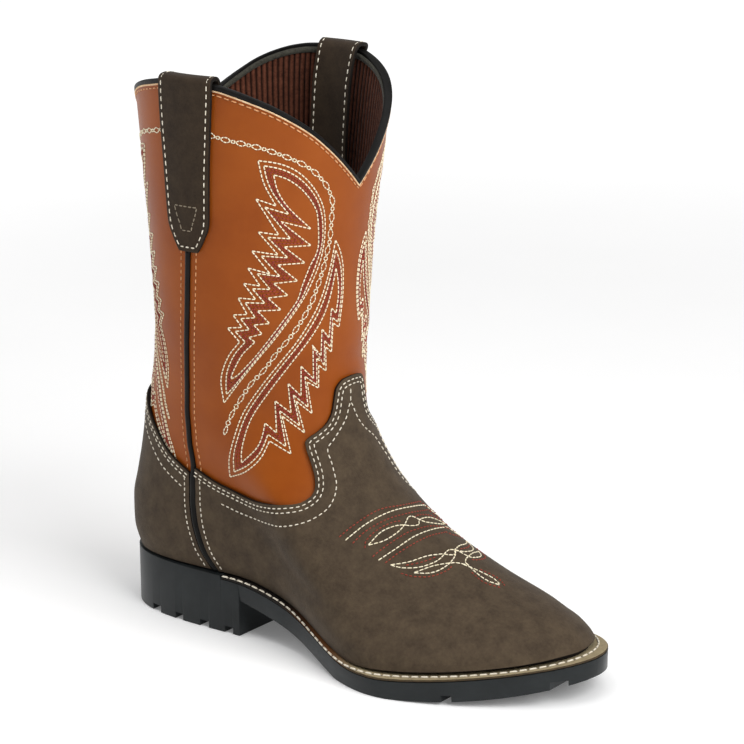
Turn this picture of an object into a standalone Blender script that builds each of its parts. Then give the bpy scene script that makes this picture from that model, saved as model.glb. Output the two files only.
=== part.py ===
"""Pull-on western boot for a right foot, built round the form of its last.

The boot stands on its sole with the toe along +X and its lateral side towards -Y.
Sizes are in millimetres, measured from the back of the heel, and become metres in the meshes.
A point of the last has an angle round the boot, from the back (0) over the lateral side to the
front (pi), and a level, which counts the rows of the section table from the sole upwards.
"""
import math
from collections import namedtuple

import bmesh
import bpy
import numpy as np

MM = 0.001
GAP = 0.3
MERGE = 1e-4
SHARP_FROM = math.radians(40.0)
SMALL_STEP = 1e-3
HALVINGS = 40

# The last: where the heel seat ends, the ball of the foot and the toe spring begins
HEEL_END_X = 70.0
BALL_X = 152.0
SPRING_X = 160.0
TOE_X = 233.0
GIRTH_ANGLES = np.radians((0.0, 80.0, 115.0, 180.0))
MEDIAL_WAIST = np.radians((40.0, 80.0))
MEDIAL_TOE = np.radians((100.0, 160.0))
SPRING_LIMIT = 1.2
SPRING_POWER = 1.5

# Shares of a section's length over which its centre line swings to the ball and back to the toe
BALL_SWING = (0.25, 0.7)
TOE_SWING = (0.6, 1.0)

# One row for each section, from the feather edge at the sole to just above the collar.
# The three heights are at the heel, the ball and the toe's rise, then come the ends of the
# section, its half girth at four angles, the swing of its centre line and the medial cut-in.
Section = namedtuple(
    "Section",
    "heel_z ball_z toe_rise back_x front_x heel_g waist_g ball_g front_g ball_y toe_y medial_in",
)
SECTIONS = (
    Section(25.5, 9.3, 9.3, 6.5, 229.5, 52.5, 25.5, 46.5, 43.5, -3.5, 1.5, 7.0),
    Section(36.0, 17.5, 6.5, 3.0, 225.5, 53.0, 28.5, 46.0, 44.5, -3.0, 1.5, 6.0),
    Section(47.0, 25.0, 5.0, 2.7, 215.5, 51.5, 29.5, 44.0, 40.5, -2.5, 1.5, 5.0),
    Section(58.0, 34.5, 4.5, 5.0, 190.5, 48.0, 29.5, 41.5, 37.0, -2.0, 1.5, 3.5),
    Section(70.0, 47.0, 3.0, 7.8, 162.8, 44.2, 30.8, 37.7, 32.8, -1.0, 1.2, 2.0),
    Section(84.0, 63.3, 1.0, 10.8, 133.5, 41.2, 32.8, 34.5, 31.5, -0.5, 0.6, 0.5),
    Section(100.0, 87.5, 0.0, 14.0, 119.3, 40.3, 35.0, 35.0, 32.5, 0.0, 0.0, 0.0),
    Section(118.0, 114.0, 0.0, 17.8, 113.0, 41.0, 39.0, 39.0, 39.0, 0.0, 0.0, 0.0),
    Section(140.0, 140.0, 0.0, 20.5, 112.5, 44.0, 44.0, 44.0, 44.0, 0.0, 0.0, 0.0),
    Section(170.0, 170.0, 0.0, 19.8, 114.0, 46.8, 46.8, 46.8, 46.8, 0.0, 0.0, 0.0),
    Section(200.0, 200.0, 0.0, 17.2, 118.0, 49.0, 49.0, 49.0, 49.0, 0.0, 0.0, 0.0),
    Section(230.0, 230.0, 0.0, 13.9, 123.4, 50.4, 50.4, 50.4, 50.4, 0.0, 0.0, 0.0),
    Section(250.0, 250.0, 0.0, 12.0, 128.8, 51.6, 51.6, 51.6, 51.6, 0.0, 0.0, 0.0),
)
LEVELS = np.arange(len(SECTIONS))

# Upper: wall of leather and lining, and the scalloped collar that dips front and back.
# A collar point lies at a share of the way from a side seam, with its heights before and behind it.
WALL = 2.4
CollarPoint = namedtuple("CollarPoint", "from_side front back")
COLLAR = (
    CollarPoint(0.0, 240.3, 240.3),
    CollarPoint(0.16, 239.3, 240.1),
    CollarPoint(0.24, 237.6, 239.5),
    CollarPoint(0.33, 235.1, 238.1),
    CollarPoint(0.43, 231.8, 234.8),
    CollarPoint(0.53, 227.6, 229.8),
    CollarPoint(0.64, 222.1, 222.8),
    CollarPoint(0.76, 214.5, 215.2),
    CollarPoint(0.91, 203.9, 205.6),
    CollarPoint(1.0, 197.5, 199.5),
)
UPPER_COLUMNS = 48
FOOT_LEVELS = np.linspace(0.0, 7.0, 17)
SHAFT_RINGS = 6

# Vamp and heel counter: leather panels laid on the foot of the upper
PANEL = 1.3
PANEL_SEAT = 0.45
PANEL_HEM_LEVEL = 0.12
PANEL_COLUMN_APART = math.radians(1.2)
SEAM_PULL = 4.0
EdgePoint = namedtuple("EdgePoint", "degrees height")
VAMP_EDGE = (
    EdgePoint(0.0, 114.2),
    EdgePoint(7.5, 113.5),
    EdgePoint(11.0, 112.3),
    EdgePoint(14.3, 110.5),
    EdgePoint(17.0, 107.0),
    EdgePoint(20.5, 102.4),
    EdgePoint(26.0, 98.7),
    EdgePoint(35.5, 93.8),
    EdgePoint(42.8, 89.7),
    EdgePoint(44.0, 87.0),
    EdgePoint(44.8, 82.0),
    EdgePoint(46.2, 76.5),
    EdgePoint(50.0, 71.2),
    EdgePoint(55.0, 68.4),
    EdgePoint(65.0, 66.1),
    EdgePoint(80.0, 65.6),
    EdgePoint(95.0, 64.5),
    EdgePoint(105.5, 65.8),
    EdgePoint(120.0, 71.0),
)
COUNTER_EDGE = (
    EdgePoint(0.0, 99.0),
    EdgePoint(27.0, 95.5),
    EdgePoint(46.0, 84.0),
    EdgePoint(56.0, 74.0),
    EdgePoint(67.0, 68.0),
)

# Side seam with its piping, from the sole up to the pull strap
SeamPoint = namedtuple("SeamPoint", "level degrees")
SEAM = (
    SeamPoint(0.0, 60.0),
    SeamPoint(1.9, 58.0),
    SeamPoint(2.6, 58.8),
    SeamPoint(3.3, 61.0),
    SeamPoint(4.0, 64.5),
    SeamPoint(4.7, 69.0),
    SeamPoint(5.5, 74.0),
    SeamPoint(6.5, 78.3),
    SeamPoint(7.4, 81.5),
    SeamPoint(8.4, 86.5),
    SeamPoint(9.2, 89.0),
    SeamPoint(10.5, 90.0),
    SeamPoint(12.0, 90.0),
)
PIPING_WIDTH = 3.0
PIPING_SHOULDER = 1.2
PIPING_CROWN = 1.9
PIPING_TOP_LEVEL = 8.98
PIPING_SHAFT_STATIONS = 7

# Binding folded over the collar's edge
BINDING = 0.7
BINDING_SEAT = 0.4
BINDING_DEPTH = 2.8

# Pull strap: a two-ply band sewn outside, folded over the collar and sewn inside.
# Lift is the distance of its near face from the upper's outer face, so inside it is negative.
StrapFold = namedtuple("StrapFold", "height lift width")
STRAP = 2.0
STRAP_COLUMNS = 5
STRAP_FOLDS = (
    StrapFold(170.0, 0.4, 9.5),
    StrapFold(176.0, 0.4, 16.0),
    StrapFold(182.0, 0.4, 20.5),
    StrapFold(205.0, 0.5, 23.0),
    StrapFold(225.0, 0.9, 25.5),
    StrapFold(236.0, 1.5, 26.5),
    StrapFold(241.0, 1.9, 26.5),
    StrapFold(242.0, 0.9, 26.5),
    StrapFold(242.2, -1.2, 26.5),
    StrapFold(242.0, -3.6, 26.0),
    StrapFold(240.8, -5.4, 25.0),
    StrapFold(234.0, -7.4, 23.0),
    StrapFold(222.0, -9.0, 20.5),
    StrapFold(205.0, -9.0, 19.0),
    StrapFold(190.0, -7.6, 18.0),
    StrapFold(178.0, -4.6, 18.0),
    StrapFold(170.0, -2.9, 18.0),
)

# Sole: its outline seen from above, and its underside seen from the side
SOLE_OUTLINE = Section(0.0, 0.0, 0.0, 3.5, 236.0, 56.0, 31.0, 53.0, 48.0, -3.5, 1.5, 8.0)
SOLE_STATIONS = 44
SOLE_DRAFT = 0.8
HEEL_BREAST_X = 76.0
BREAST_SLOPE = 0.4
ArchPoint = namedtuple("ArchPoint", "x height")
ARCH = (
    ArchPoint(76.0, 16.0),
    ArchPoint(93.0, 12.0),
    ArchPoint(109.0, 7.5),
    ArchPoint(125.0, 3.0),
    ArchPoint(138.0, 0.0),
)
TREAD_FLAT_END_X = 165.0
TREAD_TOE_RISE = 10.0
Groove = namedtuple("Groove", "x width lateral_y medial_y")
EDGE_Y = 70.0
GROOVES = (
    Groove(27.5, 5.5, -EDGE_Y, EDGE_Y),
    Groove(42.0, 4.5, -EDGE_Y, EDGE_Y),
    Groove(56.5, 5.0, -EDGE_Y, EDGE_Y),
    Groove(70.0, 4.5, -EDGE_Y, EDGE_Y),
    Groove(148.0, 4.0, -36.0, 28.0),
    Groove(159.0, 4.0, -40.0, 30.0),
    Groove(170.0, 4.0, -40.0, 30.0),
    Groove(181.0, 4.0, -36.0, 28.0),
    Groove(191.0, 4.0, -EDGE_Y, EDGE_Y),
    Groove(202.0, 4.0, -26.0, 22.0),
    Groove(213.0, 4.0, -20.0, 18.0),
    Groove(228.0, 5.0, -EDGE_Y, EDGE_Y),
)
GROOVE_DEPTH = 2.8
GROOVE_BELOW = 3.0

# Welt round the forepart, and the insole inside the upper
WELT = 1.3
WELT_SEAT = 0.55
WELT_START_X = 66.0
WELT_COLUMNS = 57
INSOLE_TOP = 2.5
INSOLE_LEVEL = 0.28
INSOLE_CLEARANCE = 2.3

Look = namedtuple("Look", "color roughness")
LOOKS = {
    "tan_leather": Look((0.39, 0.10, 0.024), 0.42),
    "brown_nubuck": Look((0.062, 0.046, 0.034), 0.85),
    "black_rubber": Look((0.027, 0.032, 0.034), 0.55),
    "black_trim": Look((0.018, 0.016, 0.014), 0.5),
    "welt_leather": Look((0.43, 0.32, 0.19), 0.7),
    "insole_board": Look((0.30, 0.22, 0.15), 0.8),
}


def ease(t):
    """Smooth step from 0 to 1."""
    t = np.clip(t, 0.0, 1.0)
    return t * t * (3.0 - 2.0 * t)


def ease_over(value, span):
    """Smooth step from 0 to 1 while a value passes over a span."""
    return ease((value - span[0]) / (span[1] - span[0]))


def through_rows(keys, rows, at):
    """Smooth curve through table rows that never overshoots them."""
    keys = np.asarray(keys, float)
    rows = np.asarray(rows, float)
    at = np.clip(np.asarray(at, float), keys[0], keys[-1])
    columns = (1,) * (rows.ndim - 1)
    gap = np.diff(keys).reshape(-1, *columns)
    step = np.diff(rows, axis=0) / gap
    before, after = step[:-1], step[1:]
    same_way = before * after > 0.0
    total = np.where(same_way, before + after, 1.0)
    inner = np.where(same_way, 2.0 * before * after / total, 0.0)
    slope = np.concatenate([step[:1], inner, step[-1:]])
    i = np.clip(np.searchsorted(keys, at, side="right") - 1, 0, len(keys) - 2)
    t = ((at - keys[i]) / np.diff(keys)[i]).reshape(at.shape + columns)
    start = (1.0 + 2.0 * t) * (1.0 - t) ** 2 * rows[i] + t * (1.0 - t) ** 2 * gap[i] * slope[i]
    end = t * t * (3.0 - 2.0 * t) * rows[i + 1] + t * t * (t - 1.0) * gap[i] * slope[i + 1]
    return start + end


def section_at(level):
    """Sizes of the section at a level, between the rows of the table."""
    rows = through_rows(LEVELS, SECTIONS, level)
    return Section(*np.moveaxis(rows, -1, 0))


def plan_point(angle, section):
    """Place on a section's outline as seen from above."""
    turn = np.abs((angle + math.pi) % (2.0 * math.pi) - math.pi)
    along = (1.0 - np.cos(turn)) / 2.0
    x = section.back_x + (section.front_x - section.back_x) * along
    _, waist, ball, front = GIRTH_ANGLES
    girth = section.heel_g + (section.waist_g - section.heel_g) * ease(turn / waist)
    girth = girth + (section.ball_g - section.waist_g) * ease_over(turn, (waist, ball))
    girth = girth + (section.front_g - section.ball_g) * ease_over(turn, (ball, front))
    lateral = (angle % (2.0 * math.pi)) <= math.pi
    cut_in = ease_over(turn, MEDIAL_WAIST) * (1.0 - ease_over(turn, MEDIAL_TOE))
    girth = girth - np.where(lateral, 0.0, section.medial_in * cut_in)
    swing = section.ball_y * ease_over(along, BALL_SWING)
    swing = swing + (section.toe_y - section.ball_y) * ease_over(along, TOE_SWING)
    y = swing + np.where(lateral, -1.0, 1.0) * girth * np.sin(turn)
    return x, y


def row_height(x, section):
    """Height of a section at a place along the boot: heel seat, arch, ball and toe spring."""
    arch = ease_over(x, (HEEL_END_X, BALL_X))
    spring = np.clip((x - SPRING_X) / (TOE_X - SPRING_X), 0.0, SPRING_LIMIT) ** SPRING_POWER
    return section.heel_z + (section.ball_z - section.heel_z) * arch + section.toe_rise * spring


def seat_height(x):
    """Height of the feather edge, where the upper meets the sole."""
    return row_height(x, SECTIONS[0])


def last_point(angle, level):
    """Point on the outer face of the upper."""
    angle, level = np.broadcast_arrays(np.asarray(angle, float), np.asarray(level, float))
    section = section_at(level)
    x, y = plan_point(angle, section)
    return np.stack([x, y, row_height(x, section)], axis=-1)


def skin(angle, level, lift):
    """Point at a distance from the upper's outer face, outwards where lift is positive."""
    along = last_point(angle + SMALL_STEP, level) - last_point(angle - SMALL_STEP, level)
    low = np.maximum(np.asarray(level, float) - SMALL_STEP, 0.0)
    upward = last_point(angle, low + 2.0 * SMALL_STEP) - last_point(angle, low)
    normal = np.cross(along, upward)
    normal = normal / np.linalg.norm(normal, axis=-1, keepdims=True)
    return last_point(angle, level) + np.asarray(lift, float)[..., None] * normal


def level_at_height(angle, height):
    """Level at which the outer face reaches a height, found by halving."""
    angle, height = np.broadcast_arrays(np.asarray(angle, float), np.asarray(height, float))
    low = np.zeros(angle.shape)
    high = np.full(angle.shape, float(LEVELS[-1]))
    for _ in range(HALVINGS):
        middle = (low + high) / 2.0
        below = last_point(angle, middle)[..., 2] < height
        low = np.where(below, middle, low)
        high = np.where(below, high, middle)
    return (low + high) / 2.0


def angle_for(distance, angle, level):
    """Turn round the boot that covers a distance along the outer face."""
    run = last_point(angle + SMALL_STEP, level) - last_point(angle - SMALL_STEP, level)
    return distance * 2.0 * SMALL_STEP / np.linalg.norm(run, axis=-1)


def collar_height(angle):
    """Height of the scalloped collar: peaks over the side seams, dips at front and back."""
    from_side = np.abs((angle % math.pi) - math.pi / 2.0) / (math.pi / 2.0)
    places = [point.from_side for point in COLLAR]
    heights = through_rows(places, [(point.front, point.back) for point in COLLAR], from_side)
    return np.where(np.cos(angle) < 0.0, heights[..., 0], heights[..., 1])


def seam_angle(level):
    """Angle of the lateral side seam; the medial seam mirrors it."""
    levels = [point.level for point in SEAM]
    return np.radians(through_rows(levels, [point.degrees for point in SEAM], level))


def panel_columns(edge):
    """Angles of a panel's columns from its middle: the upper's own, and those of its edge table."""
    corners = np.radians([point.degrees for point in edge])
    step = 2.0 * math.pi / UPPER_COLUMNS
    even = np.arange(0.0, corners[-1] - step / 2.0, step)
    apart = np.abs(even[:, None] - corners[None, :]).min(axis=1) > PANEL_COLUMN_APART
    return np.sort(np.concatenate([even[apart], corners]))


def edge_height(edge, angle):
    """Height of a panel's upper edge at an angle from its middle."""
    corners = np.radians([point.degrees for point in edge])
    return through_rows(corners, [point.height for point in edge], angle)


def new_object(name, bm, look, collection, closed=True):
    """Object from a finished bmesh in millimetres, with its own material."""
    bmesh.ops.remove_doubles(bm, verts=bm.verts, dist=MERGE)
    if closed:
        bmesh.ops.recalc_face_normals(bm, faces=bm.faces)
    bmesh.ops.scale(bm, vec=(MM, MM, MM), verts=bm.verts)
    mesh = bpy.data.meshes.new(name)
    bm.to_mesh(mesh)
    bm.free()
    mesh.shade_smooth()
    mesh.set_sharp_from_angle(angle=SHARP_FROM)
    if look is not None:
        mesh.materials.append(new_material(name, look))
    piece = bpy.data.objects.new(name, mesh)
    collection.objects.link(piece)
    return piece


def new_material(name, look):
    """Principled material with the piece's colour and roughness."""
    material = bpy.data.materials.new(name)
    material.use_nodes = True
    shader = material.node_tree.nodes["Principled BSDF"]
    shader.inputs["Base Color"].default_value = (*LOOKS[look].color, 1.0)
    shader.inputs["Roughness"].default_value = LOOKS[look].roughness
    shader.inputs["Metallic"].default_value = 0.0
    return material


def add_grid(bm, grid, closed):
    """Quads over a grid of points, columns round the boot and rows along it."""
    columns, rows = grid.shape[:2]
    verts = [[bm.verts.new(point) for point in column] for column in grid]
    for i in range(columns if closed else columns - 1):
        here, there = verts[i], verts[(i + 1) % columns]
        for j in range(rows - 1):
            bm.faces.new((here[j], there[j], there[j + 1], here[j + 1]))
    return verts


def add_rim(bm, outer, inner, closed):
    """Quads that join the matching borders of two grids."""
    columns, rows = len(outer), len(outer[0])
    for i in range(columns if closed else columns - 1):
        k = (i + 1) % columns
        bm.faces.new((inner[i][0], inner[k][0], outer[k][0], outer[i][0]))
        bm.faces.new((outer[i][-1], outer[k][-1], inner[k][-1], inner[i][-1]))
    if closed:
        return
    for j in range(rows - 1):
        bm.faces.new((outer[0][j], outer[0][j + 1], inner[0][j + 1], inner[0][j]))
        bm.faces.new((inner[-1][j], inner[-1][j + 1], outer[-1][j + 1], outer[-1][j]))


def walled(name, outer, inner, look, collection, closed=False):
    """Closed solid lofted between an outer and an inner grid of sections."""
    bm = bmesh.new()
    outer_verts = add_grid(bm, outer, closed)
    inner_verts = add_grid(bm, inner[:, ::-1], closed)
    add_rim(bm, outer_verts, [column[::-1] for column in inner_verts], closed)
    return new_object(name, bm, look, collection)


def thickened(name, grid, thickness, look, collection):
    """Open surface given its thickness away from the boot's wall."""
    bm = bmesh.new()
    add_grid(bm, grid, closed=False)
    piece = new_object(name, bm, look, collection, closed=False)
    ply = piece.modifiers.new("ply", "SOLIDIFY")
    ply.thickness = thickness * MM
    ply.offset = 1.0
    return piece


def make_upper(collection):
    """Hollow upper from the feather edge to the collar, open at both ends."""
    angle = np.linspace(0.0, 2.0 * math.pi, UPPER_COLUMNS, endpoint=False)[:, None]
    top = level_at_height(angle, collar_height(angle))
    share = np.linspace(0.0, 1.0, SHAFT_RINGS + 1)[None, 1:]
    shaft = FOOT_LEVELS[-1] + share * (top - FOOT_LEVELS[-1])
    foot = np.broadcast_to(FOOT_LEVELS, (UPPER_COLUMNS, len(FOOT_LEVELS)))
    level = np.concatenate([foot, shaft], axis=1)
    angle = np.broadcast_to(angle, level.shape)
    outer = skin(angle, level, np.zeros(level.shape))
    inner = skin(angle, level, np.full(level.shape, -WALL))
    inner[:, 0, 2] = seat_height(inner[:, 0, 0])
    inner[:, -1, 2] = outer[:, -1, 2]
    return walled("upper", outer, inner, "tan_leather", collection, closed=True)


def panel(name, edge, middle, turn, collection):
    """Panel on the foot of the upper, from its middle to both side seams."""
    columns = panel_columns(edge)
    top = level_at_height(middle + turn * columns, edge_height(edge, columns))
    rows = np.maximum(FOOT_LEVELS, PANEL_HEM_LEVEL)
    level = np.minimum(rows[None, :], top[:, None])
    seam = seam_angle(level)
    reach = np.abs(seam - middle) - angle_for(PIPING_WIDTH / 2.0 + GAP, seam, level)
    pull = (columns / columns[-1])[:, None] ** SEAM_PULL
    angle = middle + turn * (columns[:, None] + pull * (reach - columns[-1]))
    other_side = 2.0 * middle - angle
    if turn > 0.0:
        angle = np.concatenate([other_side[:0:-1], angle])
        level = np.concatenate([level[:0:-1], level])
    else:
        angle = np.concatenate([angle[::-1], other_side[1:]])
        level = np.concatenate([level[::-1], level[1:]])
    grid = skin(angle, level, np.full(level.shape, PANEL_SEAT))
    return thickened(name, grid, PANEL, "brown_nubuck", collection)


def make_vamp(collection):
    """Vamp over the forepart, with its tongue up the front and its edge along the side seams."""
    return panel("vamp", VAMP_EDGE, math.pi, -1.0, collection)


def make_counter(collection):
    """Heel counter round the back, between the side seams."""
    return panel("heel_counter", COUNTER_EDGE, 0.0, 1.0, collection)


def make_piping(name, medial, collection):
    """Corded strip that covers a side seam, from the sole to the pull strap."""
    shaft = np.linspace(FOOT_LEVELS[-1], PIPING_TOP_LEVEL, PIPING_SHAFT_STATIONS)
    level = np.concatenate([np.maximum(FOOT_LEVELS, PANEL_HEM_LEVEL), shaft[1:]])[None, :]
    across = np.array((-0.5, 0.0, 0.5))[:, None] * PIPING_WIDTH
    seam = seam_angle(level)
    angle = seam + angle_for(1.0, seam, level) * across
    level = np.broadcast_to(level, angle.shape)
    crown = np.array((PIPING_SHOULDER, PIPING_CROWN, PIPING_SHOULDER))[:, None]
    if medial:
        angle = 2.0 * math.pi - angle
    outer = skin(angle, level, np.broadcast_to(crown, angle.shape))
    inner = skin(angle, level, np.full(angle.shape, GAP))
    return walled(name, outer, inner, "black_trim", collection)


def make_binding(collection):
    """Binding folded over the collar, down its outer and inner faces."""
    angle = np.linspace(0.0, 2.0 * math.pi, UPPER_COLUMNS, endpoint=False)[:, None]
    edge = collar_height(angle)
    grids = []
    for away in (BINDING_SEAT + BINDING, BINDING_SEAT):
        rise = np.array((-BINDING_DEPTH, away, away, -BINDING_DEPTH))[None, :]
        lift = np.array((away, away, -WALL - away, -WALL - away))[None, :]
        level = level_at_height(angle, edge + rise)
        round_angle = np.broadcast_to(angle, level.shape)
        points = skin(round_angle, level, np.broadcast_to(lift, level.shape))
        points[..., 2] = edge + rise
        grids.append(points)
    return walled("collar_binding", grids[0], grids[1], "black_trim", collection, closed=True)


def make_strap(name, middle, collection):
    """Pull strap folded over the collar at a side seam, with room for fingers inside."""
    height = np.array([fold.height for fold in STRAP_FOLDS])[None, :]
    lift = np.array([fold.lift for fold in STRAP_FOLDS])[None, :]
    width = np.array([fold.width for fold in STRAP_FOLDS])[None, :]
    level = level_at_height(middle, height)
    across = np.linspace(-0.5, 0.5, STRAP_COLUMNS)[:, None] * width
    angle = middle + angle_for(1.0, middle, level) * across
    level = np.broadcast_to(level, angle.shape)
    grid = skin(angle, level, np.broadcast_to(lift, angle.shape))
    return thickened(name, grid, STRAP, "brown_nubuck", collection)


def underside(x):
    """Height of the outsole's underside before its grooves: heel, arch, tread and toe spring."""
    arch = through_rows([point.x for point in ARCH], [point.height for point in ARCH], x)
    toe = np.clip((x - TREAD_FLAT_END_X) / (SOLE_OUTLINE.front_x - TREAD_FLAT_END_X), 0.0, 1.0)
    return np.where(x <= HEEL_BREAST_X, 0.0, arch) + TREAD_TOE_RISE * toe ** 2


def sole_top(x):
    """Height of the outsole's upper face: the heel seat, then a step down for the welt."""
    under_upper = seat_height(x) - GAP
    return np.where(x <= WELT_START_X, under_upper, under_upper - WELT - GAP)


def sole_angle(x):
    """Angle at which the sole's outline passes a place along the boot."""
    along = (x - SOLE_OUTLINE.back_x) / (SOLE_OUTLINE.front_x - SOLE_OUTLINE.back_x)
    return np.arccos(1.0 - 2.0 * along)


def two_edges(angle, section, inset):
    """Lateral and medial edges of an outline, drawn in by an inset towards the middle."""
    x, lateral = plan_point(angle, section)
    _, medial = plan_point(2.0 * math.pi - angle, section)
    middle = (lateral + medial) / 2.0
    half = np.maximum((medial - lateral) / 2.0 - inset * np.sin(angle), 0.0)
    return x, middle - half, middle + half


def make_outsole(collection, cutters):
    """Rubber unit with heel, arch, tread and toe spring in one, and grooves cut across it."""
    steps = [HEEL_BREAST_X, HEEL_BREAST_X + BREAST_SLOPE, WELT_START_X, WELT_START_X + BREAST_SLOPE]
    steps += [point.x for point in ARCH[1:]] + [TREAD_FLAT_END_X]
    even = np.linspace(0.0, math.pi, SOLE_STATIONS)
    angle = np.unique(np.concatenate([even, sole_angle(np.array(steps))]))
    x, lateral, medial = two_edges(angle, SOLE_OUTLINE, 0.0)
    _, low_lateral, low_medial = two_edges(angle, SOLE_OUTLINE, SOLE_DRAFT)
    top = np.stack([x, lateral, sole_top(x), x, medial, sole_top(x)], axis=-1)
    low = np.stack([x, low_lateral, underside(x), x, low_medial, underside(x)], axis=-1)
    shape = (len(x), 2, 3)
    sole = walled("outsole", top.reshape(shape), low.reshape(shape), "black_rubber", collection)
    bm = bmesh.new()
    for groove in GROOVES:
        box = bmesh.ops.create_cube(bm, size=1.0)["verts"]
        roof = float(underside(np.array(groove.x))) + GROOVE_DEPTH
        size = (groove.width, groove.medial_y - groove.lateral_y, roof + GROOVE_BELOW)
        centre = (groove.x, (groove.medial_y + groove.lateral_y) / 2.0, (roof - GROOVE_BELOW) / 2.0)
        bmesh.ops.scale(bm, vec=size, verts=box)
        bmesh.ops.translate(bm, vec=centre, verts=box)
    cutter = new_object("tread_grooves", bm, None, cutters)
    cutter.hide_render = True
    cutter.display_type = "WIRE"
    cut = sole.modifiers.new("tread", "BOOLEAN")
    cut.operation = "DIFFERENCE"
    cut.object = cutter
    return sole, cutter


def make_welt(collection):
    """Welt strip on the sole's rim, from one side of the heel round the toe to the other."""
    start = float(sole_angle(WELT_START_X + BREAST_SLOPE + GAP))
    angle = np.linspace(start, 2.0 * math.pi - start, WELT_COLUMNS)
    rim_x, rim_y = plan_point(angle, SOLE_OUTLINE)
    under = skin(angle, np.zeros(angle.shape), np.full(angle.shape, -WALL))
    edges_x = np.stack([under[:, 0], rim_x], axis=-1)
    edges_y = np.stack([under[:, 1], rim_y], axis=-1)
    feather_z = seat_height(edges_x)
    top = np.stack([edges_x, edges_y, feather_z - WELT_SEAT], axis=-1)
    low = np.stack([edges_x, edges_y, feather_z - GAP - WELT], axis=-1)
    return walled("welt", top, low, "welt_leather", collection)


def make_insole(collection):
    """Insole board with its filler, on the outsole inside the upper."""
    angle = np.linspace(0.0, math.pi, SOLE_STATIONS)
    step_x = WELT_START_X + 2.0 * BREAST_SLOPE + GAP
    edge = skin(angle, np.zeros(angle.shape), np.full(angle.shape, -WALL - INSOLE_CLEARANCE))
    step = np.interp((step_x - BREAST_SLOPE, step_x + BREAST_SLOPE), edge[:, 0], angle)
    angle = np.sort(np.concatenate([angle, step]))
    inset = np.full(angle.shape, -WALL - INSOLE_CLEARANCE)
    grids = []
    for level in (INSOLE_LEVEL, 0.0):
        lateral = skin(angle, np.full(angle.shape, level), inset)
        medial = skin(2.0 * math.pi - angle, np.full(angle.shape, level), inset)
        grids.append(np.stack([lateral, medial], axis=1))
    top, low = grids
    top[..., 2] = seat_height(top[..., 0]) + INSOLE_TOP
    on_heel = low[:, :1, 0] <= step_x
    low[..., 2] = seat_height(low[..., 0]) - np.where(on_heel, 0.0, WELT + GAP)
    return walled("insole", top, low, "insole_board", collection)


def stand_on_origin(pieces, base):
    """Move the boot so that the middle of its footprint is the origin."""
    bpy.context.view_layer.update()
    graph = bpy.context.evaluated_depsgraph_get()
    corners = []
    for piece in pieces:
        mesh = piece.evaluated_get(graph).to_mesh()
        flat = np.empty(len(mesh.vertices) * 3)
        mesh.vertices.foreach_get("co", flat)
        points = flat.reshape(-1, 3)
        corners += [points.min(axis=0), points.max(axis=0)]
        piece.evaluated_get(graph).to_mesh_clear()
    low = np.min(corners, axis=0)
    high = np.max(corners, axis=0)
    base.location = (-(low[0] + high[0]) / 2.0, -(low[1] + high[1]) / 2.0, -low[2])


def main():
    """Build the boot's pieces and stand them on the origin."""
    for old in list(bpy.data.objects):
        bpy.data.objects.remove(old, do_unlink=True)
    boot = bpy.data.collections.new("western_boot")
    cutters = bpy.data.collections.new("western_boot_cutters")
    for collection in (boot, cutters):
        bpy.context.scene.collection.children.link(collection)
    base = bpy.data.objects.new("boot_base", None)
    boot.objects.link(base)
    sole, cutter = make_outsole(boot, cutters)
    pieces = [
        make_upper(boot),
        make_vamp(boot),
        make_counter(boot),
        make_binding(boot),
        make_piping("side_piping_lateral", False, boot),
        make_piping("side_piping_medial", True, boot),
        make_strap("pull_strap_lateral", math.pi / 2.0, boot),
        make_strap("pull_strap_medial", 3.0 * math.pi / 2.0, boot),
        make_welt(boot),
        make_insole(boot),
        sole,
    ]
    for piece in (*pieces, cutter):
        piece.parent = base
    stand_on_origin(pieces, base)


main()
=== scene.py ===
"""Looks of the pull-on western boot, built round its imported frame.

Sizes are in millimetres in the frame's own axes: the toe is along +X, the lateral side towards -Y.
A place on the boot has an angle round it, from the back (0) over the lateral side to the front (pi),
and a level, which counts the rows of the last's section table from the sole upwards.
"""
from __future__ import annotations

import logging
import math
from dataclasses import dataclass, field
from enum import Enum
from typing import Iterable, NamedTuple, Sequence

import bmesh
import bpy
import numpy as np
from bpy.types import Material, Node, NodeSocket, NodeTree, Object
from mathutils import Matrix, Vector

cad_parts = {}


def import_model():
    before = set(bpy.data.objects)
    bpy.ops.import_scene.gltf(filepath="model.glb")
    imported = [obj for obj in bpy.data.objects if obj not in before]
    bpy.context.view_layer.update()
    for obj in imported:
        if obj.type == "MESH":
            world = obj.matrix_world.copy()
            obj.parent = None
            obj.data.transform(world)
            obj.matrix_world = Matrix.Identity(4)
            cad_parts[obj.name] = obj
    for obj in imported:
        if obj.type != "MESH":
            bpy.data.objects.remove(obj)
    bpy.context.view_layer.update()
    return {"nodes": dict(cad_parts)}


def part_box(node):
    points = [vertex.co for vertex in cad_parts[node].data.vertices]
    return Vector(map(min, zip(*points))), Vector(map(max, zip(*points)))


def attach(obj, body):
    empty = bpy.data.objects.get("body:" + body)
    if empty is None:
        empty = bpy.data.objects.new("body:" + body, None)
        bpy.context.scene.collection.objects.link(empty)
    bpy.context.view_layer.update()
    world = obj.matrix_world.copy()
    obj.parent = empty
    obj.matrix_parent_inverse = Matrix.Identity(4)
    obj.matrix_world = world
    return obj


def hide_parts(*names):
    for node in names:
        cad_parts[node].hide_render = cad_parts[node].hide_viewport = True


LOG = logging.getLogger("western_boot")
MM = 0.001
BODY = "root"
FULL_TURN = 2.0 * math.pi
NO_LENGTH = 1e-7
ALL_SMOOTH = 180.0
LOCK_FILL = 0.72
Array = np.ndarray
Pixel = Span = tuple[float, float]
Line = tuple[Array, Array]


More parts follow.
